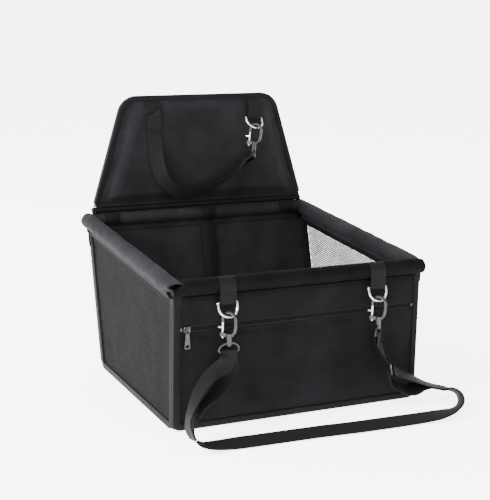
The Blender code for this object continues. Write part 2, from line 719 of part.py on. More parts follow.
def side_walls():
    """Net walls bound on three edges; their top edges go into the side sleeves' tails."""
    front = FRONT_Y + BOARD + GAP
    lean = math.tan(SLANT)
    foot = BACK_Y - (BOARD + GAP) / math.cos(SLANT)
    tail = TAIL_END + GAP
    back_top = on_slant(tail + BINDING_LIP * (math.sin(SLANT) + RIM_SLOPE), 0)
    edge = rounded([(front, under_rim(front, tail), 0), (front, GAP, FOOT_RADIUS),
                    (foot + GAP * lean, GAP, FOOT_RADIUS), (back_top[0], back_top[1], 0)])[2:]
    edge = [(front, under_rim(front, tail))] + edge[:-1] + [back_top]
    rim = SLEEVE_RADIUS + GAP
    low = GAP + NET_INSET
    corners = [(front + NET_INSET, low), (foot - NET_INSET / math.cos(SLANT) + low * lean, low),
               on_slant(rim, NET_INSET),
               (front + NET_INSET, under_rim(front + NET_INSET, rim))]
    lip = [(0, -BOARD), (BINDING_EDGE, -BOARD), (BINDING_EDGE, GAP), (BINDING_LIP, GAP),
           (BINDING_LIP, GAP + CLOTH),
           (0, GAP + CLOTH)]
    for side, plane in SIDES.items():
        net(f"{side}_net", plane, corners, -NET, 0, NETTING)
        sweep(f"{side}_binding", plane, edge, lip, TAPE)


def rim():
    """Four cloth sleeves round four plastic tubes."""
    start_y = FRONT_Y - SLEEVE_OVERHANG
    end_y = BACK_AXIS_Y + SLEEVE_OVERHANG
    start_z = under_rim(start_y, 0)
    end_z = under_rim(end_y, 0)
    back_up = BACK.v
    back_axis = BACK.at(0, BACK_TOP, -BOARD / 2)
    rows = {
        "front": ((-RIM_END, FRONT_AXIS_Y, FRONT_RIM_HEIGHT), (RIM_END, FRONT_AXIS_Y, FRONT_RIM_HEIGHT),
                  (0, 0, 1), FACING),
        "back": ((-RIM_END, back_axis.y, back_axis.z), (RIM_END, back_axis.y, back_axis.z), back_up, BOARD),
        "left": ((-SIDE_AXIS_X, start_y, start_z), (-SIDE_AXIS_X, end_y, end_z), (0, 0, 1), NET),
        "right": ((SIDE_AXIS_X, start_y, start_z), (SIDE_AXIS_X, end_y, end_z), (0, 0, 1), NET),
    }
    for place, (start, end, up, wall) in rows.items():
        sleeve(f"{place}_sleeve", start, end, up, wall, OXFORD)
        along = (Vector(end) - Vector(start)).normalized() * TUBE_SETBACK
        pipe(f"{place}_tube", Vector(start) + along, Vector(end) - along, up, TUBE_RADIUS,
             TUBE_RADIUS - TUBE_WALL, PLASTIC)


def base():
    side = NET_FACE - BOARD - GAP
    depth = -FRONT_Y - BOARD - GAP
    corner = FOOT_RADIUS
    cloth = rounded([(-side, -depth, corner), (side, -depth, corner), (side, depth, corner),
                     (-side, depth, corner)])
    prism("base_panel", FLOOR, cloth, 0, BASE_CLOTH, OXFORD)
    side -= BASE_INSET
    depth -= BASE_INSET
    board = rounded([(-side, -depth, corner), (side, -depth, corner), (side, depth, corner),
                     (-side, depth, corner)])
    top = BASE_CLOTH + GAP + BOARD
    prism("base_board", FLOOR, board, BASE_CLOTH + GAP, top, STIFFENER)
    side -= PAD_MARGIN
    depth -= PAD_MARGIN
    corner = PAD_CORNER
    pad = rounded([(-side, -depth, corner), (side, -depth, corner), (side, depth, corner),
                   (-side, depth, corner)], 7)
    cushion("floor_pad", FLOOR, pad, top + GAP, PAD_EDGE, PAD_CROWN, 0.97, LINING)


def zip_fastener():
    half = HALF_WIDTH - BINDING_LIP - GAP
    teeth_half = ZIP_TEETH / 2
    mouth = ZIP_MOUTH / 2 - GAP
    face = GAP
    for name, low, high in (("zip_tape_upper", teeth_half + GAP, mouth),
                            ("zip_tape_lower", -mouth, -teeth_half - GAP)):
        block(name, FRONT, (-half, half), (ZIP_HEIGHT + low, ZIP_HEIGHT + high), (face, face + ZIP_TAPE),
              TAPE)
    run = half - ZIP_STOP - GAP
    count = int(2 * run / ZIP_TOOTH_PITCH)
    pitch = 2 * run / count
    top = []
    bottom = []
    for tooth in range(count):
        start = -run + tooth * pitch
        for share, cut in ((0.0, 0), (0.5, 0), (0.5, 1), (1.0, 1)):
            place = start + share * pitch
            top.append((place, ZIP_HEIGHT + teeth_half - cut * ZIP_TOOTH_DEPTH))
            bottom.append((place, ZIP_HEIGHT - teeth_half + (1 - cut) * ZIP_TOOTH_DEPTH))
    prism("zip_teeth", FRONT, bottom + top[::-1], face, ZIP_RISE, COIL)
    for side, sign in (("left", -1), ("right", 1)):
        ends = sorted((sign * half, sign * (half - ZIP_STOP)))
        block(f"zip_stop_{side}", FRONT, ends, (ZIP_HEIGHT - teeth_half, ZIP_HEIGHT + teeth_half),
              (face, ZIP_RISE), GUNMETAL)
    slider()


def slider():
    """Slider over the teeth, with a bail that the pull hangs from."""
    place = pivot("slider_place", FRONT.at(SLIDER_START, ZIP_HEIGHT))
    facing = Plane((0, 0, 0), (1, 0, 0), (0, 0, 1), (0, -1, 0))
    low = ZIP_TAPE + 2 * GAP
    inner = ZIP_TEETH / 2 + GAP
    outer = SLIDER_WIDTH / 2
    plate = ZIP_RISE + GAP
    top = plate + SLIDER_PLATE
    outline = [(-outer, low), (-inner, low), (-inner, plate), (inner, plate), (inner, low), (outer, low),
               (outer, top),
               (-outer, top)]
    sections = [[facing.at(end, a, b) for a, b in outline] for end in (-SLIDER_LENGTH / 2,
                                                                       SLIDER_LENGTH / 2)]
    body = loft("zip_slider", sections, GUNMETAL, place)
    across = Plane((0, 0, 0), (0, 0, 1), (0, -1, 0), (1, 0, 0))
    half = BAIL_SPAN / 2
    foot = top - SLIDER_PLATE / 2
    crest = top + BAIL_RISE
    path = [(-half, foot), (-half, crest - BAIL_WIRE), (-half + BAIL_WIRE, crest),
            (half - BAIL_WIRE, crest),
            (half, crest - BAIL_WIRE), (half, foot)]
    combine(body, wire("zip_bail", across, path, BAIL_WIRE / 2, GUNMETAL, place, sides=6), "UNION")
    pull(FRONT.at(SLIDER_START, ZIP_HEIGHT, top + (BAIL_RISE - BAIL_WIRE / 2) / 2))


def pull(axis):
    """Zip pull: a cross bar under the bail, a window round its post and a hole for a cord."""
    place = pivot("pull_place", axis)
    print("pull axis", tuple(round(value, 5) for value in axis))
    hanging = Plane((0, 0, 0), (1, 0, 0), (0, 0, -1), (0, -1, 0))
    bar = PULL_THICKNESS / 2
    neck = PULL_NECK / 2
    wide = PULL_WIDTH / 2
    window = neck - PULL_THICKNESS * 0.8
    window_end = BAIL_SPAN / 2 + BAIL_WIRE + bar
    shoulder = window_end + PULL_THICKNESS
    end = PULL_LENGTH
    corners = [(-neck, -bar, bar), (neck, -bar, bar), (neck, shoulder, 0), (wide, end - wide, 0),
               (wide, end, wide / 2),
               (-wide, end, wide / 2), (-wide, end - wide, 0), (-neck, shoulder, 0)]
    body = prism("zip_pull", hanging, rounded(corners, 4), -bar, bar, GUNMETAL, place)
    through = (-bar - OVERRUN, bar + OVERRUN)
    slot = block("pull_window", hanging, (-window, window), (bar, window_end), through, GUNMETAL, place)
    combine(body, slot, "DIFFERENCE")
    ends = [hanging.at(0, end - wide, level) for level in through]
    combine(body, cylinder("pull_hole", ends[0], ends[1], PULL_HOLE / 2, GUNMETAL, place, sides=12),
            "DIFFERENCE")


def ring_path(width, drop, corner):
    """A D below its bar: the bar at v = 0 and the foot of the round side at v = -drop."""
    half = width / 2
    straight = drop - half
    lower = arc((0, -straight), half, 0, -180, 12)
    upper = rounded([(-half, -straight, 0), (-half, 0, corner), (half, 0, corner), (half, -straight, 0)], 3)
    return lower + upper[1:-1]


def snap_hook(side, ring_place, eye_turn, ring_tilt):
    """D-ring, swivel eye, claw and bolt, hung from an empty on the ring's bar."""
    tilt = math.radians(ring_tilt)
    ring_plane = Plane((0, 0, 0), (1, 0, 0), (0, math.sin(tilt), math.cos(tilt)),
                       (0, -math.cos(tilt), math.sin(tilt)))
    wire(f"{side}_d_ring", ring_plane, ring_path(RING_WIDTH, RING_DROP, RING_CORNER), RING_WIRE / 2,
         NICKEL, ring_place,
         closed=True)
    seat = ring_plane.at(0, -RING_DROP)
    swivel = Vector((0, seat.y, seat.z - CLAW_SEAT))
    eye_place = pivot(f"{side}_eye_place", swivel, (0, 0, eye_turn), ring_place)
    upright = Plane((0, 0, 0), (1, 0, 0), (0, 0, 1), (0, -1, 0))
    eye(side, upright, eye_place)
    claw_place = pivot(f"{side}_claw_place", swivel, (0, 0, -90 + CLAW_TURN), ring_place)
    claw(side, upright, claw_place)
    bolt(side, upright, claw_place)
    return swivel


def eye(side, plane, place):
    """Swivel eye: a boss for the claw's pin over a domed loop for the strap."""
    half = EYE_WIDTH / 2
    low = EYE_DROP
    dome = [(half * math.cos(angle), -low + EYE_CORNER + EYE_DOME * math.sin(angle))
            for angle in [math.pi * step / 12 for step in range(13)]]
    foot = rounded([(-half, 0, 0), (-half, -low, EYE_CORNER), (half, -low, EYE_CORNER), (half, 0, 0)], 3)
    path = dome + foot[2:-2]
    body = wire(f"{side}_eye", plane, path, EYE_WIRE / 2, GUNMETAL, place, closed=True)
    top = (0, 0, BOSS_UP)
    bottom = (0, 0, -BOSS_DOWN)
    combine(body, cylinder(f"{side}_boss", bottom, top, BOSS_RADIUS, GUNMETAL, place), "UNION")
    over = OVERRUN
    bore = cylinder(f"{side}_bore", (0, 0, -BOSS_DOWN - over), (0, 0, BOSS_UP + over), PIN_RADIUS + GAP,
                    GUNMETAL, place)
    combine(body, bore, "DIFFERENCE")


def claw(side, plane, place):
    """Claw: a rivet through the eye, a barrel, a curved hook and a lug that guides the bolt."""
    foot = BOSS_UP + GAP
    reach = CLAW_REACH
    stem = [(0, foot + BARREL_HEIGHT / 2), (reach * 0.45, foot + BARREL_HEIGHT * 0.70),
            (reach * 0.85, foot + BARREL_HEIGHT * 1.25), (reach, foot + BARREL_HEIGHT * 2)]
    arch = arc((0, CLAW_ARCH), reach, 0, 180, 10)
    tip = [(-reach, CLAW_ARCH - CLAW_TIP_DROP)]
    path = stem + arch + tip
    radii = []
    for index in range(len(path)):
        share = max(0, index - len(stem)) / (len(path) - len(stem))
        radii.append((CLAW_WIRE + (CLAW_TIP_WIRE - CLAW_WIRE) * share) / 2)
    body = wire(f"{side}_claw", plane, path, radii, GUNMETAL, place)
    top = foot + BARREL_HEIGHT
    combine(body, cylinder(f"{side}_barrel", (0, 0, foot), (0, 0, top), BARREL_RADIUS, GUNMETAL, place),
            "UNION")
    lug_top = top + GAP
    lug = block(f"{side}_lug", plane, (-reach - LUG_OUT, 0), (lug_top - LUG_HEIGHT, lug_top),
                (-LUG_WIDTH / 2, LUG_WIDTH / 2),
                GUNMETAL, place)
    combine(body, lug, "UNION")
    pin_end = -BOSS_DOWN - GAP
    pin = cylinder(f"{side}_pin", (0, 0, pin_end - PIN_HEAD_HEIGHT / 2), (0, 0, foot + OVERRUN),
                   PIN_RADIUS, GUNMETAL, place)
    combine(body, pin, "UNION")
    head = cylinder(f"{side}_pin_head", (0, 0, pin_end - PIN_HEAD_HEIGHT), (0, 0, pin_end), PIN_HEAD,
                    GUNMETAL, place)
    combine(body, head, "UNION")
    guide = cylinder(f"{side}_guide", (-reach, 0, lug_top - LUG_HEIGHT - OVERRUN),
                     (-reach, 0, lug_top + OVERRUN),
                     BOLT_RADIUS + GAP, GUNMETAL, place, sides=12)
    combine(body, guide, "DIFFERENCE")


def bolt(side, plane, place):
    """Sprung bolt that closes the claw, with a knob for the thumb."""
    top = CLAW_ARCH - CLAW_TIP_DROP - GAP
    body = cylinder(f"{side}_bolt", (-CLAW_REACH, 0, top - BOLT_LENGTH), (-CLAW_REACH, 0, top),
                    BOLT_RADIUS, NICKEL, place, 12)
    out = -CLAW_REACH - BOLT_RADIUS - KNOB_OUT
    knob = cylinder(f"{side}_knob", (-CLAW_REACH, 0, KNOB_HEIGHT), (out, 0, KNOB_HEIGHT), KNOB_RADIUS,
                    NICKEL, place, 12)
    combine(body, knob, "UNION")


def front_tabs():
    """Webbing over the front sleeve, folded round each D-ring's bar."""
    reach = SLEEVE_RADIUS + GAP + WEBBING / 2
    centre = reach - FOLD
    over = arc((0, 0), reach, TAB_TOP_ANGLE, 0, 6)
    under = arc((centre, -TAB_DROP), FOLD, 0, -180, 8)
    rear = [(centre - FOLD, -SLEEVE_RADIUS - 2 * WEBBING)]
    plane = Plane((0, FRONT_AXIS_Y, FRONT_RIM_HEIGHT), (0, -1, 0), (0, 0, 1), (1, 0, 0))
    for side, sign, turn in (("left", -1, 0.0), ("right", 1, RIGHT_EYE_TURN)):
        middle = sign * TAB_OFFSET
        folded(f"{side}_tab", plane, middle, over + under + rear, STRAPPING)
        place = pivot(f"{side}_ring_place", plane.at(centre, -TAB_DROP, middle))
        snap_hook(side, place, turn, RING_TILT)
        print(f"{side} ring axis", tuple(round(value, 5) for value in place.location))


def eye_bar(side_sign):
    """Middle of a front hook's strap bar, in the seat's frame."""
    tilt = math.radians(RING_TILT)
    y = FRONT_AXIS_Y - (SLEEVE_RADIUS + GAP + WEBBING / 2 - FOLD) - RING_DROP * math.sin(tilt)
    z = FRONT_RIM_HEIGHT - TAB_DROP - RING_DROP * math.cos(tilt) - CLAW_SEAT - EYE_DROP
    return Vector((side_sign * TAB_OFFSET, y, z))


def wrapped(centre, ahead, start, end, steps):
    """Webbing turned about a bar: angles in degrees from straight down, turning towards ahead."""
    line = []
    for step in range(steps + 1):
        angle = math.radians(start + (end - start) * step / steps)
        look = Vector((0, 0, -1)) * math.cos(angle) + Vector(ahead).normalized() * math.sin(angle)
        line.append((Vector(centre) + look * EYE_FOLD, look))
    return line


def adjustable_strap():
    """One strap, doubled from the left eye to the adjuster and single from there to the right eye."""
    left = eye_bar(-1)
    fold = wrapped(left, Vector((0, 1, 0)), 90, 270, 10)
    behind = fold[0][0] - Vector((0, 0, GAP))
    glide = adjuster()
    level = GLIDE_WIRE / 2 + GAP + WEBBING / 2
    bar = (GLIDE_LENGTH - GLIDE_WIRE) / 2
    window = bar / 2
    reach = GLIDE_LENGTH / 2 + WEBBING

    def threaded(v, n):
        return tuple(glide.at(0, v, n)), tuple(glide.n)

    lift = level + STRAP_LAYER + GAP
    outer_end = [threaded(-reach / 2, lift + WEBBING), threaded(0, lift)]
    inner_end = [threaded(-reach - WEBBING_WIDTH / 2, -level), threaded(-reach - WEBBING_WIDTH / 4, -level),
                 threaded(-reach - GAP, -level)]
    way = OUTER_LEFT_ROUTE + SHARED_ROUTE + OUTER_RIGHT_ROUTE
    outer = laid(stations(fold + smooth(way + outer_end, SPANS)))
    first = len(fold) + len(OUTER_LEFT_ROUTE) * SPANS
    shared = layer_on(outer[first:first + (len(SHARED_ROUTE) - 1) * SPANS + 1])
    meet, part = [[(tuple(place), tuple(face))] for place, _, face in (shared[0], shared[-1])]
    free_left = laid(stations(smooth([(tuple(behind), (0, -1, 0))] + INNER_LEFT_ROUTE + meet, SPANS)))
    free_right = stations(smooth(part + INNER_RIGHT_ROUTE + inner_end, SPANS))
    inner = free_left[:-1] + shared + free_right[1:]
    ribbon("strap_outer", outer, STRAPPING)
    ribbon("strap_inner", inner, STRAPPING)
    right = eye_bar(1)
    turn = math.radians(RIGHT_EYE_TURN)
    ahead = Vector((math.sin(turn), -math.cos(turn), 0))
    loop = wrapped(right, ahead, 270, 90, 10)
    below = right + ahead * EYE_FOLD
    back = right - ahead * EYE_FOLD
    drop = Vector((0, 0, WEBBING_WIDTH * 0.6))
    end = [(back - drop + ahead * (2 * EYE_FOLD - STRAP_LAYER - GAP), -ahead)]
    between = (below - drop).lerp(glide.origin, 0.5)
    tail = smooth([(tuple(below - drop), tuple(ahead)), (tuple(between), tuple(ahead.lerp(glide.n, 0.6))),
                   threaded(reach, -level), threaded(bar, -level), threaded(window * 1.45, -level * 0.8),
                   threaded(window * 0.55, level * 0.8), threaded(0, level),
                   threaded(-window * 0.55, level * 0.8),
                   threaded(-window * 1.45, -level * 0.8), threaded(-bar, -level),
                   threaded(-reach, -level)], SPANS)
    single = stations(end + loop + tail)
    ribbon("strap_end", single, STRAPPING)
    for name, line in (("strap_outer", outer), ("strap_inner", inner), ("strap_end", single)):
        print(name, "length", round(length_of(line), 4))


def adjuster():
    """Tri-glide: a frame with a middle bar, standing across the strap. Its plane is returned in the seat's frame."""
    turn = math.radians(GLIDE_TURN)
    lean = math.radians(GLIDE_LEAN)
    ahead = Vector((math.sin(turn), -math.cos(turn), 0))
    up = Vector((0, 0, 1))
    plane = Plane(GLIDE_PLACE, (math.cos(turn), math.sin(turn), 0),
                  up * math.cos(lean) - ahead * math.sin(lean),
                  ahead * math.cos(lean) + up * math.sin(lean))
    half = GLIDE_WIDTH / 2 - GLIDE_WIRE / 2
    rise = GLIDE_LENGTH / 2 - GLIDE_WIRE / 2
    corner = GLIDE_WIRE
    path = rounded([(-half, -rise, corner), (half, -rise, corner), (half, rise, corner),
                    (-half, rise, corner)], 3)
    frame = wire("adjuster", plane, path, GLIDE_WIRE / 2, GUNMETAL, None, closed=True, sides=6)
    bar = cylinder("adjuster_bar", plane.at(-half, 0), plane.at(half, 0), GLIDE_WIRE / 2, GUNMETAL, None,
                   sides=6)
    combine(frame, bar, "UNION")
    return plane


def back_webbing():
    """Webbing down the inside of the back wall, and patches on the back sleeve."""
    axis = BACK.at(0, BACK_TOP, -BOARD / 2)
    plane = Plane(axis, -BACK.n, BACK.v, (1, 0, 0))
    reach = SLEEVE_RADIUS + GAP + WEBBING / 2
    tail = BOARD / 2 + GAP + CLOTH + GAP + WEBBING / 2
    wall = BOARD / 2 + GAP + WEBBING / 2
    foot = BACK_TOP - PAD_CROWN - BASE_CLOTH - BOARD - FOOT_RADIUS
    slope = math.degrees(math.acos(tail / reach))
    path = arc((0, 0), reach, PATCH_HIGH_ANGLE, -slope, 8)
    path += [(tail, -TAIL_END - WEBBING), (wall, -TAIL_END - 2 * BINDING_LIP), (wall, -foot)]
    folded("back_wall_strap", plane, BACK_STRAP_PLACE, path, STRAPPING)
    patch = arc((0, 0), reach, PATCH_HIGH_ANGLE, PATCH_LOW_ANGLE, 6)
    for side, sign in (("left", -1), ("right", 1)):
        folded(f"{side}_patch", plane, sign * PATCH_PLACE, patch, STRAPPING)


def flap():
    """Padded flap on a sewn hinge along the back sleeve."""
    axis = BACK.at(0, BACK_TOP, -BOARD / 2)
    hinge = pivot("flap_hinge", (0, axis.y, axis.z + SLEEVE_RADIUS + GAP + FLAP_BEAD), (-FLAP_LEAN, 0, 0))
    cylinder("flap_bead", (-RIM_END, 0, 0), (RIM_END, 0, 0), FLAP_BEAD, TAPE, hinge)
    upright = Plane((0, 0, 0), (1, 0, 0), (0, 0, 1), (0, -1, 0))
    edge = CLOTH + GAP
    low = FLAP_BEAD + 2 * GAP
    taper = (FLAP_BASE_HALF - FLAP_TOP_HALF) / (FLAP_HEIGHT - low)
    foot = FLAP_BASE_HALF - edge
    corner = FLAP_CORNER - edge
    top = FLAP_HEIGHT - edge
    shoulder = foot - taper * (top - low)
    outline = rounded([(-foot, low, 0), (foot, low, 0), (shoulder, top, corner), (-shoulder, top, corner)],
                      8)
    sides = []
    for first, second in zip(outline, outline[1:] + outline[:1]):
        sides.append(first)
        if (Vector(second) - Vector(first)).length > FLAP_CORNER:
            sides += [tuple(Vector(first).lerp(Vector(second), share)) for share in (0.25, 0.5, 0.75)]
    half_board = FLAP_BOARD / 2
    prism("flap_board", upright, outline, -half_board, half_board, STIFFENER, hinge)
    prism("flap_back_cover", upright, outline, -half_board - GAP - CLOTH, -half_board - GAP, OXFORD, hinge)
    cushion("flap_pad", upright, sides, half_board + GAP, FLAP_PAD_EDGE, FLAP_PAD_CROWN, 0.88, OXFORD,
            hinge)
    start = FLAP_BINDING_START
    begin = FLAP_BASE_HALF - taper * (start - low)
    path = rounded([(begin, start, 0), (FLAP_TOP_HALF, FLAP_HEIGHT, FLAP_CORNER),
                    (-FLAP_TOP_HALF, FLAP_HEIGHT, FLAP_CORNER),
                    (-begin, start, 0)], 8)
    front = half_board + GAP + FLAP_PAD_EDGE + GAP + CLOTH
    back = -half_board - GAP - CLOTH - GAP - CLOTH
    lip = FLAP_BINDING_LIP
    profile = [(0, back), (lip, back), (lip, back + CLOTH), (CLOTH, back + CLOTH), (CLOTH, front - CLOTH),
               (lip, front - CLOTH), (lip, front), (0, front)]
    sweep("flap_binding", upright, path, profile, TAPE, hinge)
    flap_straps(hinge, half_board + GAP + FLAP_PAD_CROWN, half_board + GAP + FLAP_PAD_EDGE)


def flap_straps(hinge, face, rim_face):
    """Two tabs under the flap's top edge, a ring and hook on one and a strap sewn to the other."""
    rear = face + GAP + WEBBING / 2
    tuck = rim_face + 2 * GAP + WEBBING / 2
    top = FLAP_HEIGHT - FLAP_BINDING_LIP - GAP
    shoulder = (rear, (tuck - rear) * 0.45)
    plane = Plane((FLAP_TAB_LEFT, 0, top), (0, -1, 0), (0, 0, 1), (1, 0, 0))
    folded("flap_tab_left", plane, 0, [(tuck, 0), shoulder, (rear, -FLAP_TAB_LENGTH)], STRAPPING, hinge)
    sway = math.radians(FLAP_TAB_SWAY)
    top -= math.sin(sway) * WEBBING_WIDTH / 2
    plane = Plane((FLAP_TAB_RIGHT, 0, top), (0, -1, 0), (math.sin(sway), 0, math.cos(sway)),
                  (math.cos(sway), 0, -math.sin(sway)))
    bar = rear + FOLD
    fold = arc((bar, -FLAP_RING_FALL), FOLD, 180, 360, 8)
    front = [(rear + 2 * FOLD, shoulder[1] * 2), (rear + STRAP_LAYER, shoulder[1]), (tuck + STRAP_LAYER, 0)]
    folded("flap_tab_right", plane, 0, [(tuck, 0), shoulder] + fold + front, STRAPPING, hinge)
    axis = plane.at(bar, -FLAP_RING_FALL, 0)
    place = pivot("flap_ring_place", axis, (0, FLAP_TAB_SWAY, 0), hinge)
    swivel = snap_hook("flap", place, FLAP_EYE_TURN, FLAP_RING_TILT)
    hang = Matrix.Rotation(sway, 4, "Y")
    turn = math.radians(FLAP_EYE_TURN)
    ahead = Vector((math.sin(turn), -math.cos(turn), 0))
    bar_place = swivel - Vector((0, 0, EYE_DROP))
    loop = [(axis + hang @ place, hang @ look)
            for place, look in wrapped(bar_place, ahead, FLAP_WRAP_START, FLAP_WRAP_START - 180, 10)]
    first, last = loop[0], loop[-1]
    run = (loop[1][0] - first[0]).cross(first[1]).cross(first[1]).normalized()
    route = FLAP_ROUTE + [(tuple(first[0] + run * WEBBING_WIDTH / 2), tuple(-first[1])),
                          (tuple(first[0]), tuple(-first[1]))]
    tail = (last[0] + run * WEBBING_WIDTH + first[1] * WEBBING, last[1])
    line = smooth(route, 3)[:-1] + [(place, -look) for place, look in loop] + [(tail[0], -tail[1])]
    ribbon("flap_strap", stations(line), STRAPPING, hinge)
    print("flap_strap length", round(length_of(line), 4))
    upright = Matrix.Rotation(math.radians(-FLAP_LEAN), 4, "X")
    print("flap ring axis", tuple(round(value, 5) for value in hinge.location + upright @ axis),
          tuple(round(value, 5) for value in upright @ plane.n))
    print("flap swivel axis", tuple(round(value, 5) for value in hinge.location
                                    + upright @ (axis + hang @ swivel)),
          tuple(round(value, 5) for value in upright @ (hang @ Vector((0, 0, 1)))))
    print("flap hinge", tuple(round(value, 5) for value in hinge.location))


base()
front_wall()
back_wall()
side_walls()
rim()
zip_fastener()
front_tabs()
adjustable_strap()
back_webbing()
flap()
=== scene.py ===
import json
import math

import bmesh
import bpy
from mathutils import Matrix, Vector, noise


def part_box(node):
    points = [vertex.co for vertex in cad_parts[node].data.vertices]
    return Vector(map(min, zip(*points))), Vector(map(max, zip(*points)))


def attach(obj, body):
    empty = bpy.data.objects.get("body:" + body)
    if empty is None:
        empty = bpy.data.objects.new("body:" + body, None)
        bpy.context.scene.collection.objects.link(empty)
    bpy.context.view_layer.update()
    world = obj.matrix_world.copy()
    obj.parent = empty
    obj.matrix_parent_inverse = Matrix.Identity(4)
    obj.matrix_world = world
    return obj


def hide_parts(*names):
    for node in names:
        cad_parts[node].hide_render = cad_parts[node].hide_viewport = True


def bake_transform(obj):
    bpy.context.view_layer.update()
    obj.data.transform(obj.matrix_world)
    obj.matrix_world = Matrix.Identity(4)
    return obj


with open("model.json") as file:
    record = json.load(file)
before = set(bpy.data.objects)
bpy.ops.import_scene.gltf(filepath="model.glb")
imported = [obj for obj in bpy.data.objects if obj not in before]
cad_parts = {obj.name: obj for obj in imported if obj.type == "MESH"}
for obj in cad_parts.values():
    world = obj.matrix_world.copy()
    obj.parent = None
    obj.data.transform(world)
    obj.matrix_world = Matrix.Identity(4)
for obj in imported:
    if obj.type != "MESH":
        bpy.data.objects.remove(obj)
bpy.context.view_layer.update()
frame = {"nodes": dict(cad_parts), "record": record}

NODES = frame["nodes"]
BODY_OF = {node: body for body, nodes in frame["record"]["behaviour"]["bodies"].items() for node in nodes}
THREAD_PITCH = 0.0034
STITCH_RISE = 0.8
STITCH_LIFT = 0.0001
TACK_GAP = 0.0028
UP = Vector((0, 0, 1))

# Camera, light and floor

CAMERA_AZIMUTH = math.radians(-23.788)
CAMERA_ELEVATION = math.radians(12.252)
CAMERA_DISTANCE = 1.8522
CAMERA_TARGET = Vector((-0.0701, 0.0, 0.2391))
CAMERA_ROLL = math.radians(0.8)
FOCAL_PIXELS = 1208.69
FRAME_HEIGHT = 500
SENSOR = 36.0
LENS_SHIFT = (0.062, -0.0242)
LIGHTS = [          # name, place, aim, size, watts
    ("key_upper_left", (-1.9, -0.2, 1.45), (0, 0, 0.15), (1.0, 1.0), 135),
    ("fill_front", (0.9, -2.2, 0.9), (0, 0, 0.15), (1.6, 1.2), 2),
    ("rim_rear", (0.3, 1.8, 1.6), (0, 0, 0.2), (1.6, 0.8), 24),
]
WHITE = (1.0, 1.0, 1.0, 1.0)
WORLD_STRENGTH = 2.2
FLOOR_GLOW = 4.2
FLOOR_SIZE = 400.0
FLOOR_DROP = 0.0004


def linked(name, data):
    """An object for the data, in the scene."""
    thing = bpy.data.objects.new(name, data)
    bpy.context.scene.collection.objects.link(thing)
    return thing


def clamped(value):
    return min(1.0, max(0.0, value))


def set_camera():
    data = bpy.data.cameras.new("studio_camera")
    camera = linked("studio_camera", data)
    level = math.cos(CAMERA_ELEVATION)
    toward = Vector((math.sin(CAMERA_AZIMUTH) * level, -math.cos(CAMERA_AZIMUTH) * level,
                     math.sin(CAMERA_ELEVATION)))
    camera.location = CAMERA_TARGET + toward * CAMERA_DISTANCE
    camera.rotation_euler = (-toward).to_track_quat("-Z", "Y").to_euler()
    camera.rotation_euler.rotate_axis("Z", CAMERA_ROLL)
    data.sensor_fit = "VERTICAL"
    data.sensor_width = data.sensor_height = SENSOR
    data.lens = FOCAL_PIXELS * SENSOR / FRAME_HEIGHT
    data.shift_x, data.shift_y = LENS_SHIFT
    bpy.context.scene.camera = camera


def soft_light(name, place, aim, size, power):
    data = bpy.data.lights.new(name, "AREA")
    data.shape = "RECTANGLE"
    data.size, data.size_y = size
    data.energy = power
    lamp = linked(name, data)
    lamp.location = place
    lamp.rotation_euler = (Vector(aim) - Vector(place)).to_track_quat("-Z", "Y").to_euler()


def set_studio():
    world = bpy.data.worlds.new("studio_white")
    world.use_nodes = True
    world.node_tree.nodes["Background"].inputs["Color"].default_value = WHITE
    world.node_tree.nodes["Background"].inputs["Strength"].default_value = WORLD_STRENGTH
    bpy.context.scene.world = world
    for light in LIGHTS:
        soft_light(*light)
    bpy.ops.mesh.primitive_plane_add(size=FLOOR_SIZE, location=(0.0, 0.0, -FLOOR_DROP))
    floor = bpy.context.active_object
    floor.name = "studio_floor"
    paper = Finish("pale paper", (0.93, 0.93), 0.9, specular=0.1)
    paper.give("Emission Color", WHITE)
    paper.give("Emission Strength", FLOOR_GLOW)
    floor.data.materials.append(paper.material)


# Materials

SELVEDGE = 0.0112


class Number:
    """A number inside a material; arithmetic on it adds Math nodes."""

    def __init__(self, finish, socket):
        self.finish = finish
        self.socket = socket

    def math(self, operation, *others):
        return self.finish.node("ShaderNodeMath", enumerate((self, *others)), operation=operation)

    def __add__(self, other):
        return self.math("ADD", other)

    def __sub__(self, other):
        return self.math("SUBTRACT", other)

    def __rsub__(self, other):
        return self.finish.node("ShaderNodeMath", {0: other, 1: self}, operation="SUBTRACT")

    def __mul__(self, other):
        return self.math("MULTIPLY", other)


def tinted(shade):
    """A colour from its grey, for red and green, and its blue."""
    grey, blue = shade
    return grey, grey, blue, 1.0


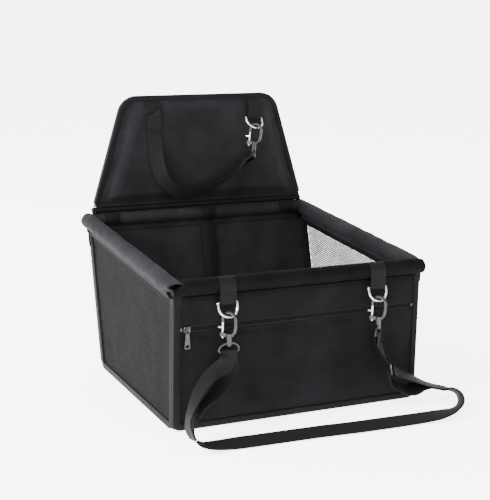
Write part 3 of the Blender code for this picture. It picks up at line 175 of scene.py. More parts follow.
class Finish:
    """One material and the nodes that it is worked out with."""

    def __init__(self, name, shade, roughness, metallic=0.0, sheen=0.0, specular=0.5):
        self.material = bpy.data.materials.new(name)
        self.material.use_nodes = True
        self.tree = self.material.node_tree
        self.shader = self.tree.nodes["Principled BSDF"]
        self.give("Base Color", tinted(shade))
        self.give("Roughness", roughness)
        self.give("Metallic", metallic)
        self.give("Specular IOR Level", specular)
        if sheen:
            self.give("Sheen Weight", sheen)
            self.give("Sheen Roughness", 0.45)

    def give(self, key, value, node=None):
        """A value, or a Number, for one of the shader's or another node's inputs."""
        socket = (node or self.shader).inputs[key]
        if isinstance(value, Number):
            self.tree.links.new(value.socket, socket)
        else:
            socket.default_value = value

    def node(self, kind, inputs=(), out=0, **settings):
        made = self.tree.nodes.new(kind)
        for setting, value in settings.items():
            setattr(made, setting, value)
        for key, value in dict(inputs).items():
            self.give(key, value, made)
        return Number(self, made.outputs[out])

    def cloth_place(self):
        """Metres along and across the cloth."""
        place = self.node("ShaderNodeUVMap", uv_map="cloth")
        return [self.node("ShaderNodeSeparateXYZ", {0: place}, out) for out in ("X", "Y")]

    def speckle(self, scale, detail):
        place = self.node("ShaderNodeTexCoord", out="Object")
        return self.node("ShaderNodeTexNoise", {"Vector": place, "Scale": scale, "Detail": detail}, "Fac")

    def paint(self, low, high, share):
        """Base colour from low to high by a share from 0 to 1."""
        inputs = {"Factor": share, "A": tinted(low), "B": tinted(high)}
        self.give("Base Color", self.node("ShaderNodeMix", inputs, "Result", data_type="RGBA"))

    def relief(self, height, depth, strength):
        inputs = {"Strength": strength, "Distance": depth, "Height": height}
        self.give("Normal", self.node("ShaderNodeBump", inputs, "Normal"))


def oxford_cloth(name, low, high, thread, sheen=0.0):
    """Plain weave of thick threads with a soft sheen."""
    finish = Finish(name, high, 0.72, sheen=sheen, specular=0.024)
    u, v = finish.cloth_place()
    warp = (u * (math.pi / thread)).math("SINE")
    weft = (v * (math.pi / thread)).math("SINE")
    over = (warp * weft) * 0.5 + 0.5
    clouds = finish.speckle(19.0, 3.0)
    finish.paint(low, high, (over * 0.4 + clouds * 1.7) - 0.55)
    finish.give("Roughness", clouds * 0.16 + 0.64)
    finish.relief(over + finish.speckle(900.0, 1.0) * 0.5, 0.00018, 0.6)
    return finish.material


def ribbed_webbing(name, low, high, rib):
    """Webbing: chevron ribs across its width and a firm selvedge."""
    finish = Finish(name, high, 0.6, sheen=0.006, specular=0.04)
    u, v = finish.cloth_place()
    edge = u.math("ABSOLUTE")
    ribs = (v * (2 * math.pi / rib) + edge * (2 * math.pi / (rib * 1.6))).math("SINE") * 0.5 + 0.5
    selvedge = edge.math("GREATER_THAN", SELVEDGE)
    fuzz = finish.speckle(700.0, 2.0)
    shade = ribs * 0.65 + fuzz * 0.45
    finish.paint(low, high, shade * (1.0 - selvedge * 0.45))
    finish.give("Roughness", fuzz * 0.2 + 0.5)
    finish.relief(ribs + fuzz * 0.35, 0.00022, 0.8)
    return finish.material


def grained(name, low, high, roughness, metallic, specular, cloud, spread, grain):
    """Metal or plastic with cloudy shine. Cloud and grain start with the scale and detail of their noise."""
    finish = Finish(name, high, roughness, metallic=metallic, specular=specular)
    share = finish.speckle(*cloud)
    finish.paint(low, high, share)
    finish.give("Roughness", share * spread + (roughness - spread / 2))
    finish.relief(finish.speckle(*grain[:2]), *grain[2:])
    return finish.material


def cast_metal(name, low, high, roughness, depth):
    return grained(name, low, high, roughness, 1.0, 0.5, (160.0, 3.0), 0.18, (1400.0, 2.0, depth, 0.5))


def moulded(name, low, high, roughness, specular=0.4):
    return grained(name, low, high, roughness, 0.0, specular, (90.0, 2.0), 0.1, (2200.0, 1.0, 0.00004, 0.4))


OXFORD = oxford_cloth("black oxford cloth", (0.0022, 0.0027), (0.0066, 0.0076), 0.00055, 0.004)
PADDED = oxford_cloth("black padded cloth", (0.005, 0.0058), (0.013, 0.0146), 0.00055, 0.02)
LINING = oxford_cloth("black lining", (0.0034, 0.004), (0.009, 0.0102), 0.0004, 0.02)
# A lighter copy of the black oxford cloth: painted light where the lamps catch the side and back rims and the leaning
# back wall.
PAINTED_LIGHT_OXFORD = oxford_cloth("black oxford cloth of the side rims", (0.006, 0.007), (0.0168, 0.0186), 0.00055, 0.02)
# A near-black cloth: painted shadow for the cord under the front rim.
SHADOW_OXFORD = oxford_cloth("near-black cord painted as the shadow under the front rim", (0.0004, 0.0005), (0.0014, 0.0016), 0.0004)
# A darker copy of the black oxford cloth: painted shade on the front rim.
PAINTED_SHADE_OXFORD = oxford_cloth("black oxford cloth of the front rim", (0.0014, 0.0018), (0.004, 0.0046), 0.00055)
TAPE = ribbed_webbing("black binding tape", (0.003, 0.0035), (0.009, 0.01), 0.0011)
STRAPPING = ribbed_webbing("black webbing", (0.0026, 0.003), (0.0105, 0.0115), 0.0019)
NETTING = oxford_cloth("dark grey netting", (0.003, 0.0034), (0.0074, 0.0082), 0.0003, 0.008)
THREAD = ribbed_webbing("black thread", (0.006, 0.0066), (0.017, 0.0182), 0.0004)
COIL = moulded("black zip coil", (0.0016, 0.002), (0.005, 0.0058), 0.5, 0.08)
NICKEL = cast_metal("polished nickel", (0.3, 0.3), (0.54, 0.53), 0.22, 0.00001)
GUNMETAL = cast_metal("dark nickel", (0.016, 0.017), (0.06, 0.063), 0.34, 0.00003)
PLASTIC = moulded("white plastic tube", (0.62, 0.6), (0.72, 0.7), 0.45)
STIFFENER = moulded("grey plastic board", (0.16, 0.16), (0.22, 0.22), 0.6)


# Making and finishing pieces

def alone(piece):
    bpy.ops.object.select_all(action="DESELECT")
    piece.select_set(True)
    bpy.context.view_layer.objects.active = piece


def applied(piece, name, kind, **settings):
    """Adds a modifier and applies it."""
    alone(piece)
    modifier = piece.modifiers.new(name, kind)
    for setting, value in settings.items():
        setattr(modifier, setting, value)
    bpy.ops.object.modifier_apply(modifier=modifier.name)


def bridged(shape, rows, closed=False):
    """Quads between rows of vertices, one after another."""
    for before, after in zip(rows, rows[1:]):
        for index in range(len(before) if closed else len(before) - 1):
            far = (index + 1) % len(before)
            shape.faces.new((before[index], before[far], after[far], after[index]))


def placed(shape, name, even=True):
    """The drawn shape as a piece, by default with all its faces looking out."""
    if even:
        bmesh.ops.recalc_face_normals(shape, faces=shape.faces)
    mesh = bpy.data.meshes.new(name)
    shape.to_mesh(mesh)
    shape.free()
    return linked(name, mesh)


def wear(piece, material, body="root", nodes=()):
    """Material, slot, body and the nodes that the piece stands for."""
    piece.data.materials.clear()
    piece.data.materials.append(material)
    if body is not None:
        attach(piece, body)
    if nodes:
        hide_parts(*nodes)
    return piece


def copied(node, name):
    """A node's shape as one merged mesh with flat faces joined, to be worked on."""
    shape = bmesh.new()
    shape.from_mesh(NODES[node].data)
    bmesh.ops.remove_doubles(shape, verts=shape.verts, dist=0.00002)
    bmesh.ops.dissolve_limit(shape, angle_limit=math.radians(0.6), verts=shape.verts, edges=shape.edges)
    for layer in list(shape.loops.layers.uv):
        shape.loops.layers.uv.remove(layer)
    piece = placed(shape, name, even=False)
    for attribute in ("custom_normal", "sharp_edge", "sharp_face"):
        if attribute in piece.data.attributes:
            piece.data.attributes.remove(piece.data.attributes[attribute])
    return piece


def ruled(piece, direction, pitch):
    """Cuts the mesh by parallel planes, so that it can bend between them."""
    direction = Vector(direction).normalized()
    reaches = [vertex.co.dot(direction) for vertex in piece.data.vertices]
    low, high = min(reaches), max(reaches)
    count = max(1, int((high - low) / pitch))
    step = (high - low) / count
    shape = bmesh.new()
    shape.from_mesh(piece.data)
    for index in range(1, count):
        geometry = shape.verts[:] + shape.edges[:] + shape.faces[:]
        bmesh.ops.bisect_plane(shape, geom=geometry, dist=0.000005, plane_co=direction * (low + index * step),
                               plane_no=direction)
    shape.to_mesh(piece.data)
    shape.free()


def softened(piece, width, segments=2):
    """Rounds the hard edges of cut cloth."""
    applied(piece, "soft edge", "BEVEL", width=width, segments=segments, limit_method="ANGLE",
            angle_limit=math.radians(38))


def shaded(piece, angle=40):
    alone(piece)
    bpy.ops.object.shade_smooth_by_angle(angle=math.radians(angle))


def laid_out(piece):
    """UVs in metres, from the side that each face looks to."""
    layer = piece.data.uv_layers.new(name="cloth")
    for polygon in piece.data.polygons:
        axis = max(range(3), key=lambda index: abs(polygon.normal[index]))
        first, second = ((1, 2), (0, 2), (0, 1))[axis]
        for loop in polygon.loop_indices:
            place = piece.data.vertices[piece.data.loops[loop].vertex_index].co
            layer.data[loop].uv = (place[first], place[second])


def dressed(piece, material, body="root", nodes=(), angle=40):
    """UVs and smooth faces, then what the piece wears and stands for."""
    laid_out(piece)
    shaded(piece, angle)
    return wear(piece, material, body, nodes)


def rod(name, radius, length, middle, turn, sides, edge, segments=2):
    """A short closed cylinder with softened rims."""
    bpy.ops.object.select_all(action="DESELECT")
    bpy.ops.mesh.primitive_cylinder_add(vertices=sides, radius=radius, depth=length, location=middle, rotation=turn)
    piece = bpy.context.active_object
    piece.name = name
    bpy.ops.object.transform_apply(location=True, rotation=True, scale=True)
    softened(piece, edge, segments)
    return piece


def drape(place, seed, coarse, fine):
    """Slow waves and shallow creases of cloth that isn't stretched tight, from -1 to 1."""
    slow = noise.noise(Vector((place.x / coarse, place.y / coarse, place.z / coarse)) + Vector((seed, 0, 0)))
    quick = noise.noise(Vector((place.x / fine, place.y / fine, place.z / fine)) + Vector((0, seed, 0)))
    return 0.75 * slow + 0.35 * quick


def waved(piece, direction, depth, seed, coarse, fine, keep):
    """Moves a sheet's two faces together, out along one direction and never back."""
    direction = Vector(direction).normalized()
    for vertex in piece.data.vertices:
        flat = vertex.co - direction * vertex.co.dot(direction)
        share = 1.0 if keep is None else keep(vertex.co)
        vertex.co += direction * (depth * share * max(0.0, 0.5 + 0.5 * drape(flat, seed, coarse, fine)))


def sheet_of(node, name, material, direction, pitch, depth, seed, keep=None, coarse=0.09, fine=0.03):
    """A sewn cloth wall: the node's outline with soft edges and waves."""
    piece = copied(node, name)
    softened(piece, 0.0004)
    sideways = Vector(direction).cross((1, 0, 0))
    ruled(piece, sideways, pitch)
    ruled(piece, Vector(direction).cross(sideways), pitch)
    waved(piece, direction, depth, seed, coarse, fine, keep)
    return dressed(piece, material, BODY_OF[node], [node])


def band_of(node, name, material, edge=0.0004):
    """Webbing or tape that follows its node, with soft edges."""
    piece = copied(node, name)
    softened(piece, edge)
    return dressed(piece, material, BODY_OF[node], [node])


# Straps

WEBBING = 0.0015
WEBBING_WIDTH = 0.025
GAP = 0.0003
STRAP_LAYER = WEBBING + GAP
EYE_WIRE = 0.0036
EYE_FOLD = EYE_WIRE / 2 + GAP + WEBBING / 2
FINE_SPANS = 9


def route_of(rows):
    """Middles and the ways that the webbing looks, from rows of millimetres and hundredths."""
    return [((x / 1000, y / 1000, z / 1000), (a / 100, b / 100, c / 100)) for x, y, z, a, b, c in rows]


OUTER_LEFT_ROUTE = route_of([
    (-122, -178.6, 106.5, -3, -99, 3), (-131, -180.6, 97, -20, -86, 47), (-149, -183.2, 89.3, -43, -42, 80),
    (-163.5, -188.5, 79.5, -51, -27, 81), (-177, -196, 67, -69, -14, 71), (-189, -205, 52, -86, 1, 50),
    (-198.5, -214.5, 39, -95, 10, 29), (-202.5, -222, 30, -99, 8, 6), (-201, -231, 20.7, -93, -8, -34),
    (-195.5, -237, 13, -62, 0, -78),
])
SHARED_ROUTE = route_of([
    (-186, -241, 8, -33, -5, -94), (-165, -242, 5.6, -8, 12, -98), (-134, -242, 4.6, 0, 26, -97),
    (-70, -244, 4.6, 0, 26, -97), (-10, -246, 4.6, 0, 26, -97), (50, -250, 4.6, 0, 26, -97),
    (110, -252, 4.6, 0, 26, -97), (150, -253.5, 5, 2, 22, -97), (178, -256, 6.6, 5, 14, -98),
    (200, -255, 9, 8, -12, -99), (219, -247.5, 11.5, 32, -46, -83), (235.5, -230, 12.5, 78, -52, -35),
    (249, -205, 12.8, 84, -28, 46), (253, -186, 12.8, 42, 4, 91), (245.5, -174.5, 14, 20, 0, 98),
    (229, -172.2, 18.8, 25, -2, 96), (212.5, -174, 25, 28, -15, 95),
])
OUTER_RIGHT_ROUTE = route_of([
    (197, -176.5, 32.5, 28, -25, 93), (183, -179, 39.5, 35, -30, 89), (169, -181, 46, 48, -32, 82),
    (158, -183.5, 52, 68, -33, 65),
])
INNER_LEFT_ROUTE = route_of([
    (-121.2, -170.9, 106, 0, -100, 0), (-118, -172.2, 96, -5, -100, 5), (-121, -176.5, 86, -23, -94, 24),
    (-134, -183.5, 72.5, -47, -58, 67), (-151, -192, 60.7, -42, -19, 88), (-167, -200.5, 52.8, -48, -2, 88),
    (-180, -209, 45, -66, 14, 74), (-189.5, -217.5, 36, -86, 15, 48), (-197.8, -225.2, 26.8, -98, 6, 3),
    (-195.5, -233.8, 16.6, -78, 2, -62),
])
INNER_RIGHT_ROUTE = route_of([
    (197.5, -178.5, 25.2, 25, -30, 92), (183, -181, 21.5, 15, -40, 90), (169, -182.5, 24, 35, -45, 82),
    (154.5, -184.5, 31.5, 70, -35, 62),
])
FLAP_ROUTE = route_of([
    (-88, -18.2, 146, 0, -100, 0), (-87.5, -18.2, 128, 0, -100, 0), (-87, -19.5, 106, -10, -100, 0),
    (-85.5, -22.5, 81, -30, -100, 0), (-79.5, -25, 56, -65, -85, -10), (-64, -26.5, 35, -45, -85, -40),
    (-42, -27.2, 24.5, -10, -85, -50), (-17, -27.8, 23.5, 15, -80, -60), (12, -28.4, 31, 35, -70, -65),
    (38, -30.5, 45, 50, -55, -68), (59, -33, 59, 55, -42, -72),
])


def smooth(route, spans):
    """Middles and faces on a smooth curve through the route's own points."""
    middles = [Vector(place) for place, _ in route]
    looks = [Vector(look).normalized() for _, look in route]
    out = []
    last = len(route) - 1
    for index in range(last):
        a, b, c, d = middles[max(index - 1, 0)], middles[index], middles[index + 1], middles[min(index + 2, last)]
        for step in range(spans):
            t = step / spans
            place = (2 * b + (c - a) * t + (2 * a - 5 * b + 4 * c - d) * t ** 2
                     + (3 * b - a - 3 * c + d) * t ** 3) / 2
            out.append((place, looks[index].lerp(looks[index + 1], t)))
    out.append((middles[last], looks[last]))
    return out


def stations(line):
    """Each middle with the webbing's sideways and facing directions there."""
    out = []
    for index, (place, look) in enumerate(line):
        along = (line[min(index + 1, len(line) - 1)][0] - line[max(index - 1, 0)][0]).normalized()
        face = (look - along * look.dot(along)).normalized()
        out.append((place, along.cross(face), face))
    return out


def off_floor(line):
    """The same stations, raised where the webbing's lower edge would reach below the floor."""
    raised = []
    for place, side, face in line:
        need = abs(side.z) * WEBBING_WIDTH / 2 + abs(face.z) * WEBBING / 2 + GAP
        raised.append((Vector((place.x, place.y, max(place.z, need))), side, face))
    return raised


def wrapped(centre, ahead, start, end, steps):
    """Webbing turned about a bar, from straight down towards ahead."""
    line = []
    for step in range(steps + 1):
        angle = math.radians(start + (end - start) * step / steps)
        look = Vector(ahead).normalized() * math.sin(angle) - UP * math.cos(angle)
        line.append((centre + look * EYE_FOLD, look))
    return line


def length_of(points):
    return sum((after - before).length for before, after in zip(points, points[1:]))


HALF_SECTION = [(1.0, 0.35), (0.96, 0.86), (0.86, 0.98), (0.5, 0.9), (0.0, 0.88), (-0.5, 0.9), (-0.86, 0.98),
                (-0.96, 0.86), (-1.0, 0.35)]
SECTION = HALF_SECTION + [(a, -b) for a, b in HALF_SECTION[::-1]]


def woven_strap(name, line, nodes, body):
    """Webbing along its stations, with a crowned face, rounded selvedges and metres for UVs."""
    half, thick = WEBBING_WIDTH / 2, WEBBING / 2
    shape = bmesh.new()
    layer = shape.loops.layers.uv.new("cloth")
    rings, spots = [], {}
    travelled, last = 0.0, line[0][0]
    for place, side, face in line:
        travelled += (place - last).length
        last = place
        rings.append([shape.verts.new(place + side * (a * half) + face * (b * thick)) for a, b in SECTION])
        spots.update((vertex, (a * half, travelled)) for vertex, (a, _) in zip(rings[-1], SECTION))
    bridged(shape, rings, closed=True)
    for face in shape.faces:
        face.smooth = True
        for loop in face.loops:
            loop[layer].uv = spots[loop.vert]
    for ring in (rings[0], rings[-1]):
        shape.faces.new(ring)
    return wear(placed(shape, name), STRAPPING, body, nodes)


def stitches(name, rows, body, length=0.0022, thick=0.00032):
    """Rows of stitches: each row is a sewn line's places and its look, one small thread loop per place."""
    shape = bmesh.new()
    for places, look in rows:
        for here, there in zip(places, places[1:]):
            along = (there - here).normalized()
            side = along.cross(look).normalized()
            count = max(1, int((there - here).length / THREAD_PITCH))
            for step in range(count):
                middle = here.lerp(there, (step + 0.5) / count)
                low, high = middle - along * length / 2, middle + along * length / 2
                tips = [shape.verts.new(place - look * thick) for place in (low, high)]
                rings = [[shape.verts.new(low.lerp(high, share) + side * thick * math.cos(angle)
                                          + look * thick * STITCH_RISE * math.sin(angle))
                          for angle in (0.0, math.pi / 2, math.pi, 3 * math.pi / 2)] for share in (0.25, 0.75)]
                bridged(shape, rings, closed=True)
                for tip, ring in zip(tips, rings):
                    for corner in range(4):
                        shape.faces.new((tip, ring[(corner + 1) % 4], ring[corner]))
    piece = placed(shape, name)
    for polygon in piece.data.polygons:
        polygon.use_smooth = True
    laid_out(piece)
    wear(piece, THREAD, body)


# Places that the straps run between

LEFT_EYE_BAR = Vector((-0.1215, -0.17364, 0.11428))
RIGHT_EYE_BAR = Vector((0.1215, -0.17364, 0.11428))
RIGHT_EYE_TURN = math.radians(46.0)
GLIDE_PLACE = Vector((0.1385, -0.184, 0.064))
GLIDE_TURN = math.radians(68.0)
GLIDE_LEAN = math.radians(12.0)
GLIDE_LENGTH = 0.02
GLIDE_WIRE = 0.003
FLAP_HINGE = Vector((0.0, 0.22306, 0.24872))
FLAP_TURN = Matrix.Rotation(-math.radians(2.3), 3, "X")
FLAP_RING_BAR = Vector((0.0931, -0.0193, 0.14598))
FLAP_SWIVEL = Vector((0.0, -0.01311, -0.05298))
FLAP_SWAY = math.radians(6.5)
FLAP_EYE_TURN = math.radians(75.0)
FLAP_WRAP_START = 217.0
EYE_DROP = 0.0145


def on_flap(place):
    """A place given from the flap's hinge line, in the row frame."""
    return FLAP_HINGE + FLAP_TURN @ Vector(place)


def heading(turn):
    """The level direction that looks forward, turned to the right."""
    return Vector((math.sin(turn), -math.cos(turn), 0))


def adjustable_strap():
    """The doubled strap from the left hook to the adjuster, and the single end from there to the right hook."""
    ahead = heading(GLIDE_TURN)
    rise = UP * math.cos(GLIDE_LEAN) - ahead * math.sin(GLIDE_LEAN)
    out = ahead * math.cos(GLIDE_LEAN) + UP * math.sin(GLIDE_LEAN)
    level = GLIDE_WIRE / 2 + GAP + WEBBING / 2
    bar = (GLIDE_LENGTH - GLIDE_WIRE) / 2
    window = bar / 2
    reach = GLIDE_LENGTH / 2 + WEBBING

    def threaded(v, n):
        return GLIDE_PLACE + rise * v + out * n, out

    fold = wrapped(LEFT_EYE_BAR, (0, 1, 0), 90, 270, 16)
    lift = level + STRAP_LAYER + GAP
    outer_end = [threaded(-reach / 2, lift + WEBBING), threaded(0, lift)]
    inner_end = [threaded(-reach - past, -level) for past in (WEBBING_WIDTH / 2, WEBBING_WIDTH / 4, GAP)]
    way = OUTER_LEFT_ROUTE + SHARED_ROUTE + OUTER_RIGHT_ROUTE + outer_end
    outer = off_floor(stations(fold + smooth(way, FINE_SPANS)))
    first = len(fold) + len(OUTER_LEFT_ROUTE) * FINE_SPANS
    under = outer[first:first + (len(SHARED_ROUTE) - 1) * FINE_SPANS + 1]
    shared = [(place - face * STRAP_LAYER, side, face) for place, side, face in under]
    meet, part = [[(place, face)] for place, _, face in (shared[0], shared[-1])]
    behind = fold[0][0] - UP * GAP
    free_left = off_floor(stations(smooth([(behind, (0, -1, 0))] + INNER_LEFT_ROUTE + meet, FINE_SPANS)))
    free_right = stations(smooth(part + INNER_RIGHT_ROUTE + inner_end, FINE_SPANS))
    inner = free_left[:-1] + shared + free_right[1:]

    ahead = heading(RIGHT_EYE_TURN)
    loop = wrapped(RIGHT_EYE_BAR, ahead, 270, 90, 16)
    below = RIGHT_EYE_BAR + ahead * EYE_FOLD
    back = RIGHT_EYE_BAR - ahead * EYE_FOLD
    drop = UP * (WEBBING_WIDTH * 0.6)
    start = [(back - drop + ahead * (2 * EYE_FOLD - STRAP_LAYER - GAP), -ahead)]
    between = (below - drop).lerp(GLIDE_PLACE, 0.5)
    weave = [(reach, -1), (bar, -1), (window * 1.45, -0.8), (window * 0.55, 0.8), (0, 1), (-window * 0.55, 0.8),
             (-window * 1.45, -0.8), (-bar, -1), (-reach, -1)]
    tail = [(below - drop, ahead), (between, ahead.lerp(out, 0.6))] + [threaded(v, n * level) for v, n in weave]
    return outer, inner, stations(start + loop + smooth(tail, FINE_SPANS))


def flap_strap_line():
    """From under the flap's left tab, across the pad, to the hook on the right, in the row frame."""
    hang = Matrix.Rotation(FLAP_SWAY, 3, "Y")
    ahead = heading(FLAP_EYE_TURN)
    bar_place = FLAP_SWIVEL - UP * EYE_DROP
    loop = [(FLAP_RING_BAR + hang @ place, hang @ look)
            for place, look in wrapped(bar_place, ahead, FLAP_WRAP_START, FLAP_WRAP_START - 180, 10)]
    first, last = loop[0], loop[-1]
    run = (loop[1][0] - first[0]).cross(first[1]).cross(first[1]).normalized()
    route = FLAP_ROUTE + [(first[0] + run * WEBBING_WIDTH / 2, -first[1]), (first[0], -first[1])]
    end = [(last[0] + run * WEBBING_WIDTH + first[1] * WEBBING, -last[1])]
    line = smooth(route, FINE_SPANS)[:-1] + [(place, -look) for place, look in loop] + end
    return stations([(on_flap(place), FLAP_TURN @ look) for place, look in line])


# Netting

NET_CELL_LENGTH = 0.0066
NET_CELL_HEIGHT = 0.0036
NET_HOLE = 0.49
NET_THREAD = 0.0006
NET_BORDER = 0.007
NET_TOP_HEM = 0.0165
NET_BORDER_CLOTH = 0.0009
NET_SLACK = 0.0026
NET_LAP = 0.002            # netting under its border


def inset_outline(outline, distances):
    """A convex outline's corners, counterclockwise, moved inward by each edge's own distance."""
    corners = [Vector(corner) for corner in outline]
    runs = [(after - here).normalized() for here, after in zip(corners, corners[1:] + corners[:1])]
    inward = [Vector((-run.y, run.x)) for run in runs]
    moved = []
    for index, here in enumerate(corners):
        first, second, near, far = inward[index - 1], inward[index], distances[index - 1], distances[index]
        shared = first.dot(second)
        move = first * (near - far * shared) + second * (far - near * shared)
        moved.append(tuple(here + move / (1 - shared * shared)))
    return moved


def depth_inside(outline, y, z):
    """Distance to the nearest edge, below 0 outside."""
    return min(((y2 - y1) * (z - z1) - (z2 - z1) * (y - y1)) / math.hypot(y2 - y1, z2 - z1)
               for (y1, z1), (y2, z2) in zip(outline, outline[1:] + outline[:1]))


def wall_corners(side):
    """The side net's corners as (y, z): low front, low rear, top rear, top front."""
    spots = [(vertex.co.y, vertex.co.z) for vertex in NODES[f"{side}_net"].data.vertices]
    low_rear = max(spots, key=lambda spot: spot[0] - 2 * spot[1])
    return [min(spots, key=sum), low_rear, max(spots, key=sum), min(spots, key=lambda spot: spot[0] - spot[1])]


def netting(side):
    """Open netting in a narrow border: rows of long low holes, a little slack between the sewn edges."""
    node = f"{side}_net"
    outline = wall_corners(side)
    hems = [NET_BORDER, NET_BORDER, NET_TOP_HEM, NET_BORDER]
    mesh_edge = inset_outline(outline, [hem - NET_LAP for hem in hems])
    centre_x = sum(corner.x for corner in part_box(node)) / 2
    base_y, base_z = outline[0]

    shape = bmesh.new()
    rings = (outline, inset_outline(outline, hems))
    bridged(shape, [[shape.verts.new((centre_x, y, z)) for y, z in ring] for ring in rings], closed=True)
    wear(finished_sheet(shape, f"{side}_net_border", NET_BORDER_CLOTH), OXFORD)

    shape = bmesh.new()
    knots = {}

    def spot(column, row):
        return base_y + column * NET_CELL_LENGTH / 2, base_z + row * NET_CELL_HEIGHT / 2

    def knot(column, row):
        if (column, row) not in knots:
            y, z = spot(column, row)
            slack = clamped((depth_inside(outline, y, z) - 0.009) / 0.03)
            wave = noise.noise(Vector((y * 13, z * 9, centre_x * 40)))
            wave += 0.3 * noise.noise(Vector((y * 40, z * 22, 2.0)))
            knots[(column, row)] = shape.verts.new((centre_x + NET_SLACK * slack * wave, y, z))
        return knots[(column, row)]

    columns = int((max(y for y, _ in outline) - base_y) / NET_CELL_LENGTH * 2) + 1
    rows = int((max(z for _, z in outline) - base_z) / NET_CELL_HEIGHT * 2) + 1
    for column in range(columns + 1):
        for row in range(column % 2, rows + 1, 2):
            ends = [(column + 1, row), (column, row + 1), (column - 1, row), (column, row - 1)]
            if min(depth_inside(mesh_edge, *spot(*end)) for end in ends) < 0:
                continue
            outer = [knot(*end) for end in ends]
            middle = sum((vertex.co for vertex in outer), Vector()) / 4
            inner = [shape.verts.new(middle.lerp(vertex.co, NET_HOLE)) for vertex in outer]
            bridged(shape, [outer, inner], closed=True)
    return wear(finished_sheet(shape, f"{side}_netting", NET_THREAD), NETTING, "root", [node])


def finished_sheet(shape, name, thickness, offset=0.0):
    """A thin closed sheet from faces in one layer."""
    piece = placed(shape, name, even=False)
    applied(piece, "cloth", "SOLIDIFY", thickness=thickness, offset=offset)
    laid_out(piece)
    return piece


# Padding

FILL_PRESSURE = 4.0
FILL_FRAMES = 20
CREASE = 0.0009
CREASE_WAVES = (0.07, 0.022)


def filled(piece):
    """A cloth simulation that blows the closed piece up a little."""
    cloth = piece.modifiers.new("filling", "CLOTH")
    cloth.settings.use_pressure = True
    cloth.settings.uniform_pressure_force = FILL_PRESSURE
    cloth.settings.effector_weights.gravity = 0.0
    cloth.settings.quality = 5
    cloth.point_cache.frame_start = 1
    cloth.point_cache.frame_end = FILL_FRAMES
    for step in range(1, FILL_FRAMES + 1):
        bpy.context.scene.frame_set(step)
    alone(piece)
    bpy.ops.object.modifier_apply(modifier=cloth.name)
    bpy.context.scene.frame_set(1)


def plumped(node, name, material, voxel, cap, out, seed):
    """A pad that is filled, then held inside its cover."""
    piece = copied(node, name)
    out = Vector(out).normalized()
    reaches = [vertex.co.dot(out) for vertex in piece.data.vertices]
    base, roof = min(reaches), max(reaches)
    applied(piece, "even mesh", "REMESH", mode="VOXEL", voxel_size=voxel)
    before = [vertex.co.copy() for vertex in piece.data.vertices]
    filled(piece)
    for vertex, start in zip(piece.data.vertices, before):
        move = vertex.co - start
        if move.length > cap:
            move *= cap / move.length
        flat = start - out * start.dot(out)
        crease = CREASE * drape(flat, seed, *CREASE_WAVES)
        share = clamped((start.dot(out) - base) / (roof - base))
        place = start + move * min(1.0, 0.15 + 1.2 * share) + out * (crease * share)
        depth = min(max(place.dot(out), base), roof)
        vertex.co = place + out * (depth - place.dot(out))
    applied(piece, "smooth cover", "SUBSURF", levels=1, render_levels=1)
    dressed(piece, material, BODY_OF[node], [node], 60)


MOUTH_LENGTH = 0.03
MOUTH_RISE = 0.012
MOUTH_FALL = 0.0022
TUCK_LENGTH = 0.014
TUCKED = 0.76
LEAN_LENGTH = 0.029
END_LEAN = 0.006
SLEEVE_OUTSIDE = 0.0115
SLEEVE_INSIDE = 0.0097
SLEEVE_PLUG = 0.001
PUCKERED = (0.0108, 0.0125)


def along_tube(piece, start, along):
    """Each vertex with its distance along a sleeve and its offset from the sleeve's axis."""
    for vertex in piece.data.vertices:
        reach = vertex.co - start
        station = reach.dot(along)
        yield vertex, station, reach - along * station


def pressed_mouth(piece, start, along):
    """The left sleeve's empty front end, pressed flat on the front sleeve's end below it."""
    for vertex, station, radial in along_tube(piece, start, along):
        if station <= MOUTH_LENGTH:
            share = (1 - station / MOUTH_LENGTH) ** 1.3
            height = clamped((radial.z + SLEEVE_OUTSIDE) / (2 * SLEEVE_OUTSIDE))
            vertex.co.z += share * (MOUTH_RISE - (MOUTH_FALL + MOUTH_RISE) * height)
            vertex.co.x += radial.x * 0.14 * share


def tucked_end(piece, start, along):
    """The right sleeve's front end, gathered into the end of the front sleeve."""
    for vertex, station, radial in along_tube(piece, start, along):
        if station < TUCK_LENGTH:
            vertex.co -= radial * ((1 - TUCKED) * (1 - station / TUCK_LENGTH))
        if station < LEAN_LENGTH:
            vertex.co.x -= END_LEAN * (1 - station / LEAN_LENGTH)


def closed_end(place, end, along):
    """Folded-in cloth that shuts the end of a sleeve."""
    turn = UP.rotation_difference(along).to_euler()
    plug = rod(f"{place}_rim_end_{'left' if end[0] < 0 else 'right'}", SLEEVE_INSIDE, SLEEVE_PLUG,
               Vector(end) - along * SLEEVE_PLUG, turn, 32, 0.0003)
    dressed(plug, OXFORD, angle=50)


def puckered_sleeve(place, start, end, seed):
    """A rim sleeve with soft puckers round its tube."""
    piece = copied(f"{place}_sleeve", f"{place}_rim_cloth")
    start, end = Vector(start), Vector(end)
    along = (end - start).normalized()
    softened(piece, 0.0003)
    ruled(piece, along, 0.005)
    for vertex, station, radial in along_tube(piece, start, along):
        if PUCKERED[0] < radial.length < PUCKERED[1]:
            wave = noise.noise(Vector((station * 62 + seed, radial.x * 90, radial.z * 90 + radial.y * 60)))
            slow = noise.noise(Vector((station * 14, seed, 0.5)))
            out = radial.normalized()
            under_flap = max(0.0, out.z) if place == "back" else 0.0
            vertex.co += out * ((0.0005 + 0.0008 * wave + 0.0004 * slow) * (1 - 0.9 * under_flap))
    if place == "left":
        pressed_mouth(piece, start, along)
    elif place == "right":
        tucked_end(piece, start, along)
    else:
        for tip, out in ((start, -along), (end, along)):
            closed_end(place, tip, out)
    # Front rim: darker copy of the cloth, painted shade; side and back rims: lighter copy, painted light.
    dressed(piece, PAINTED_SHADE_OXFORD if place == "front" else PAINTED_LIGHT_OXFORD, "root", [f"{place}_sleeve"], 50)


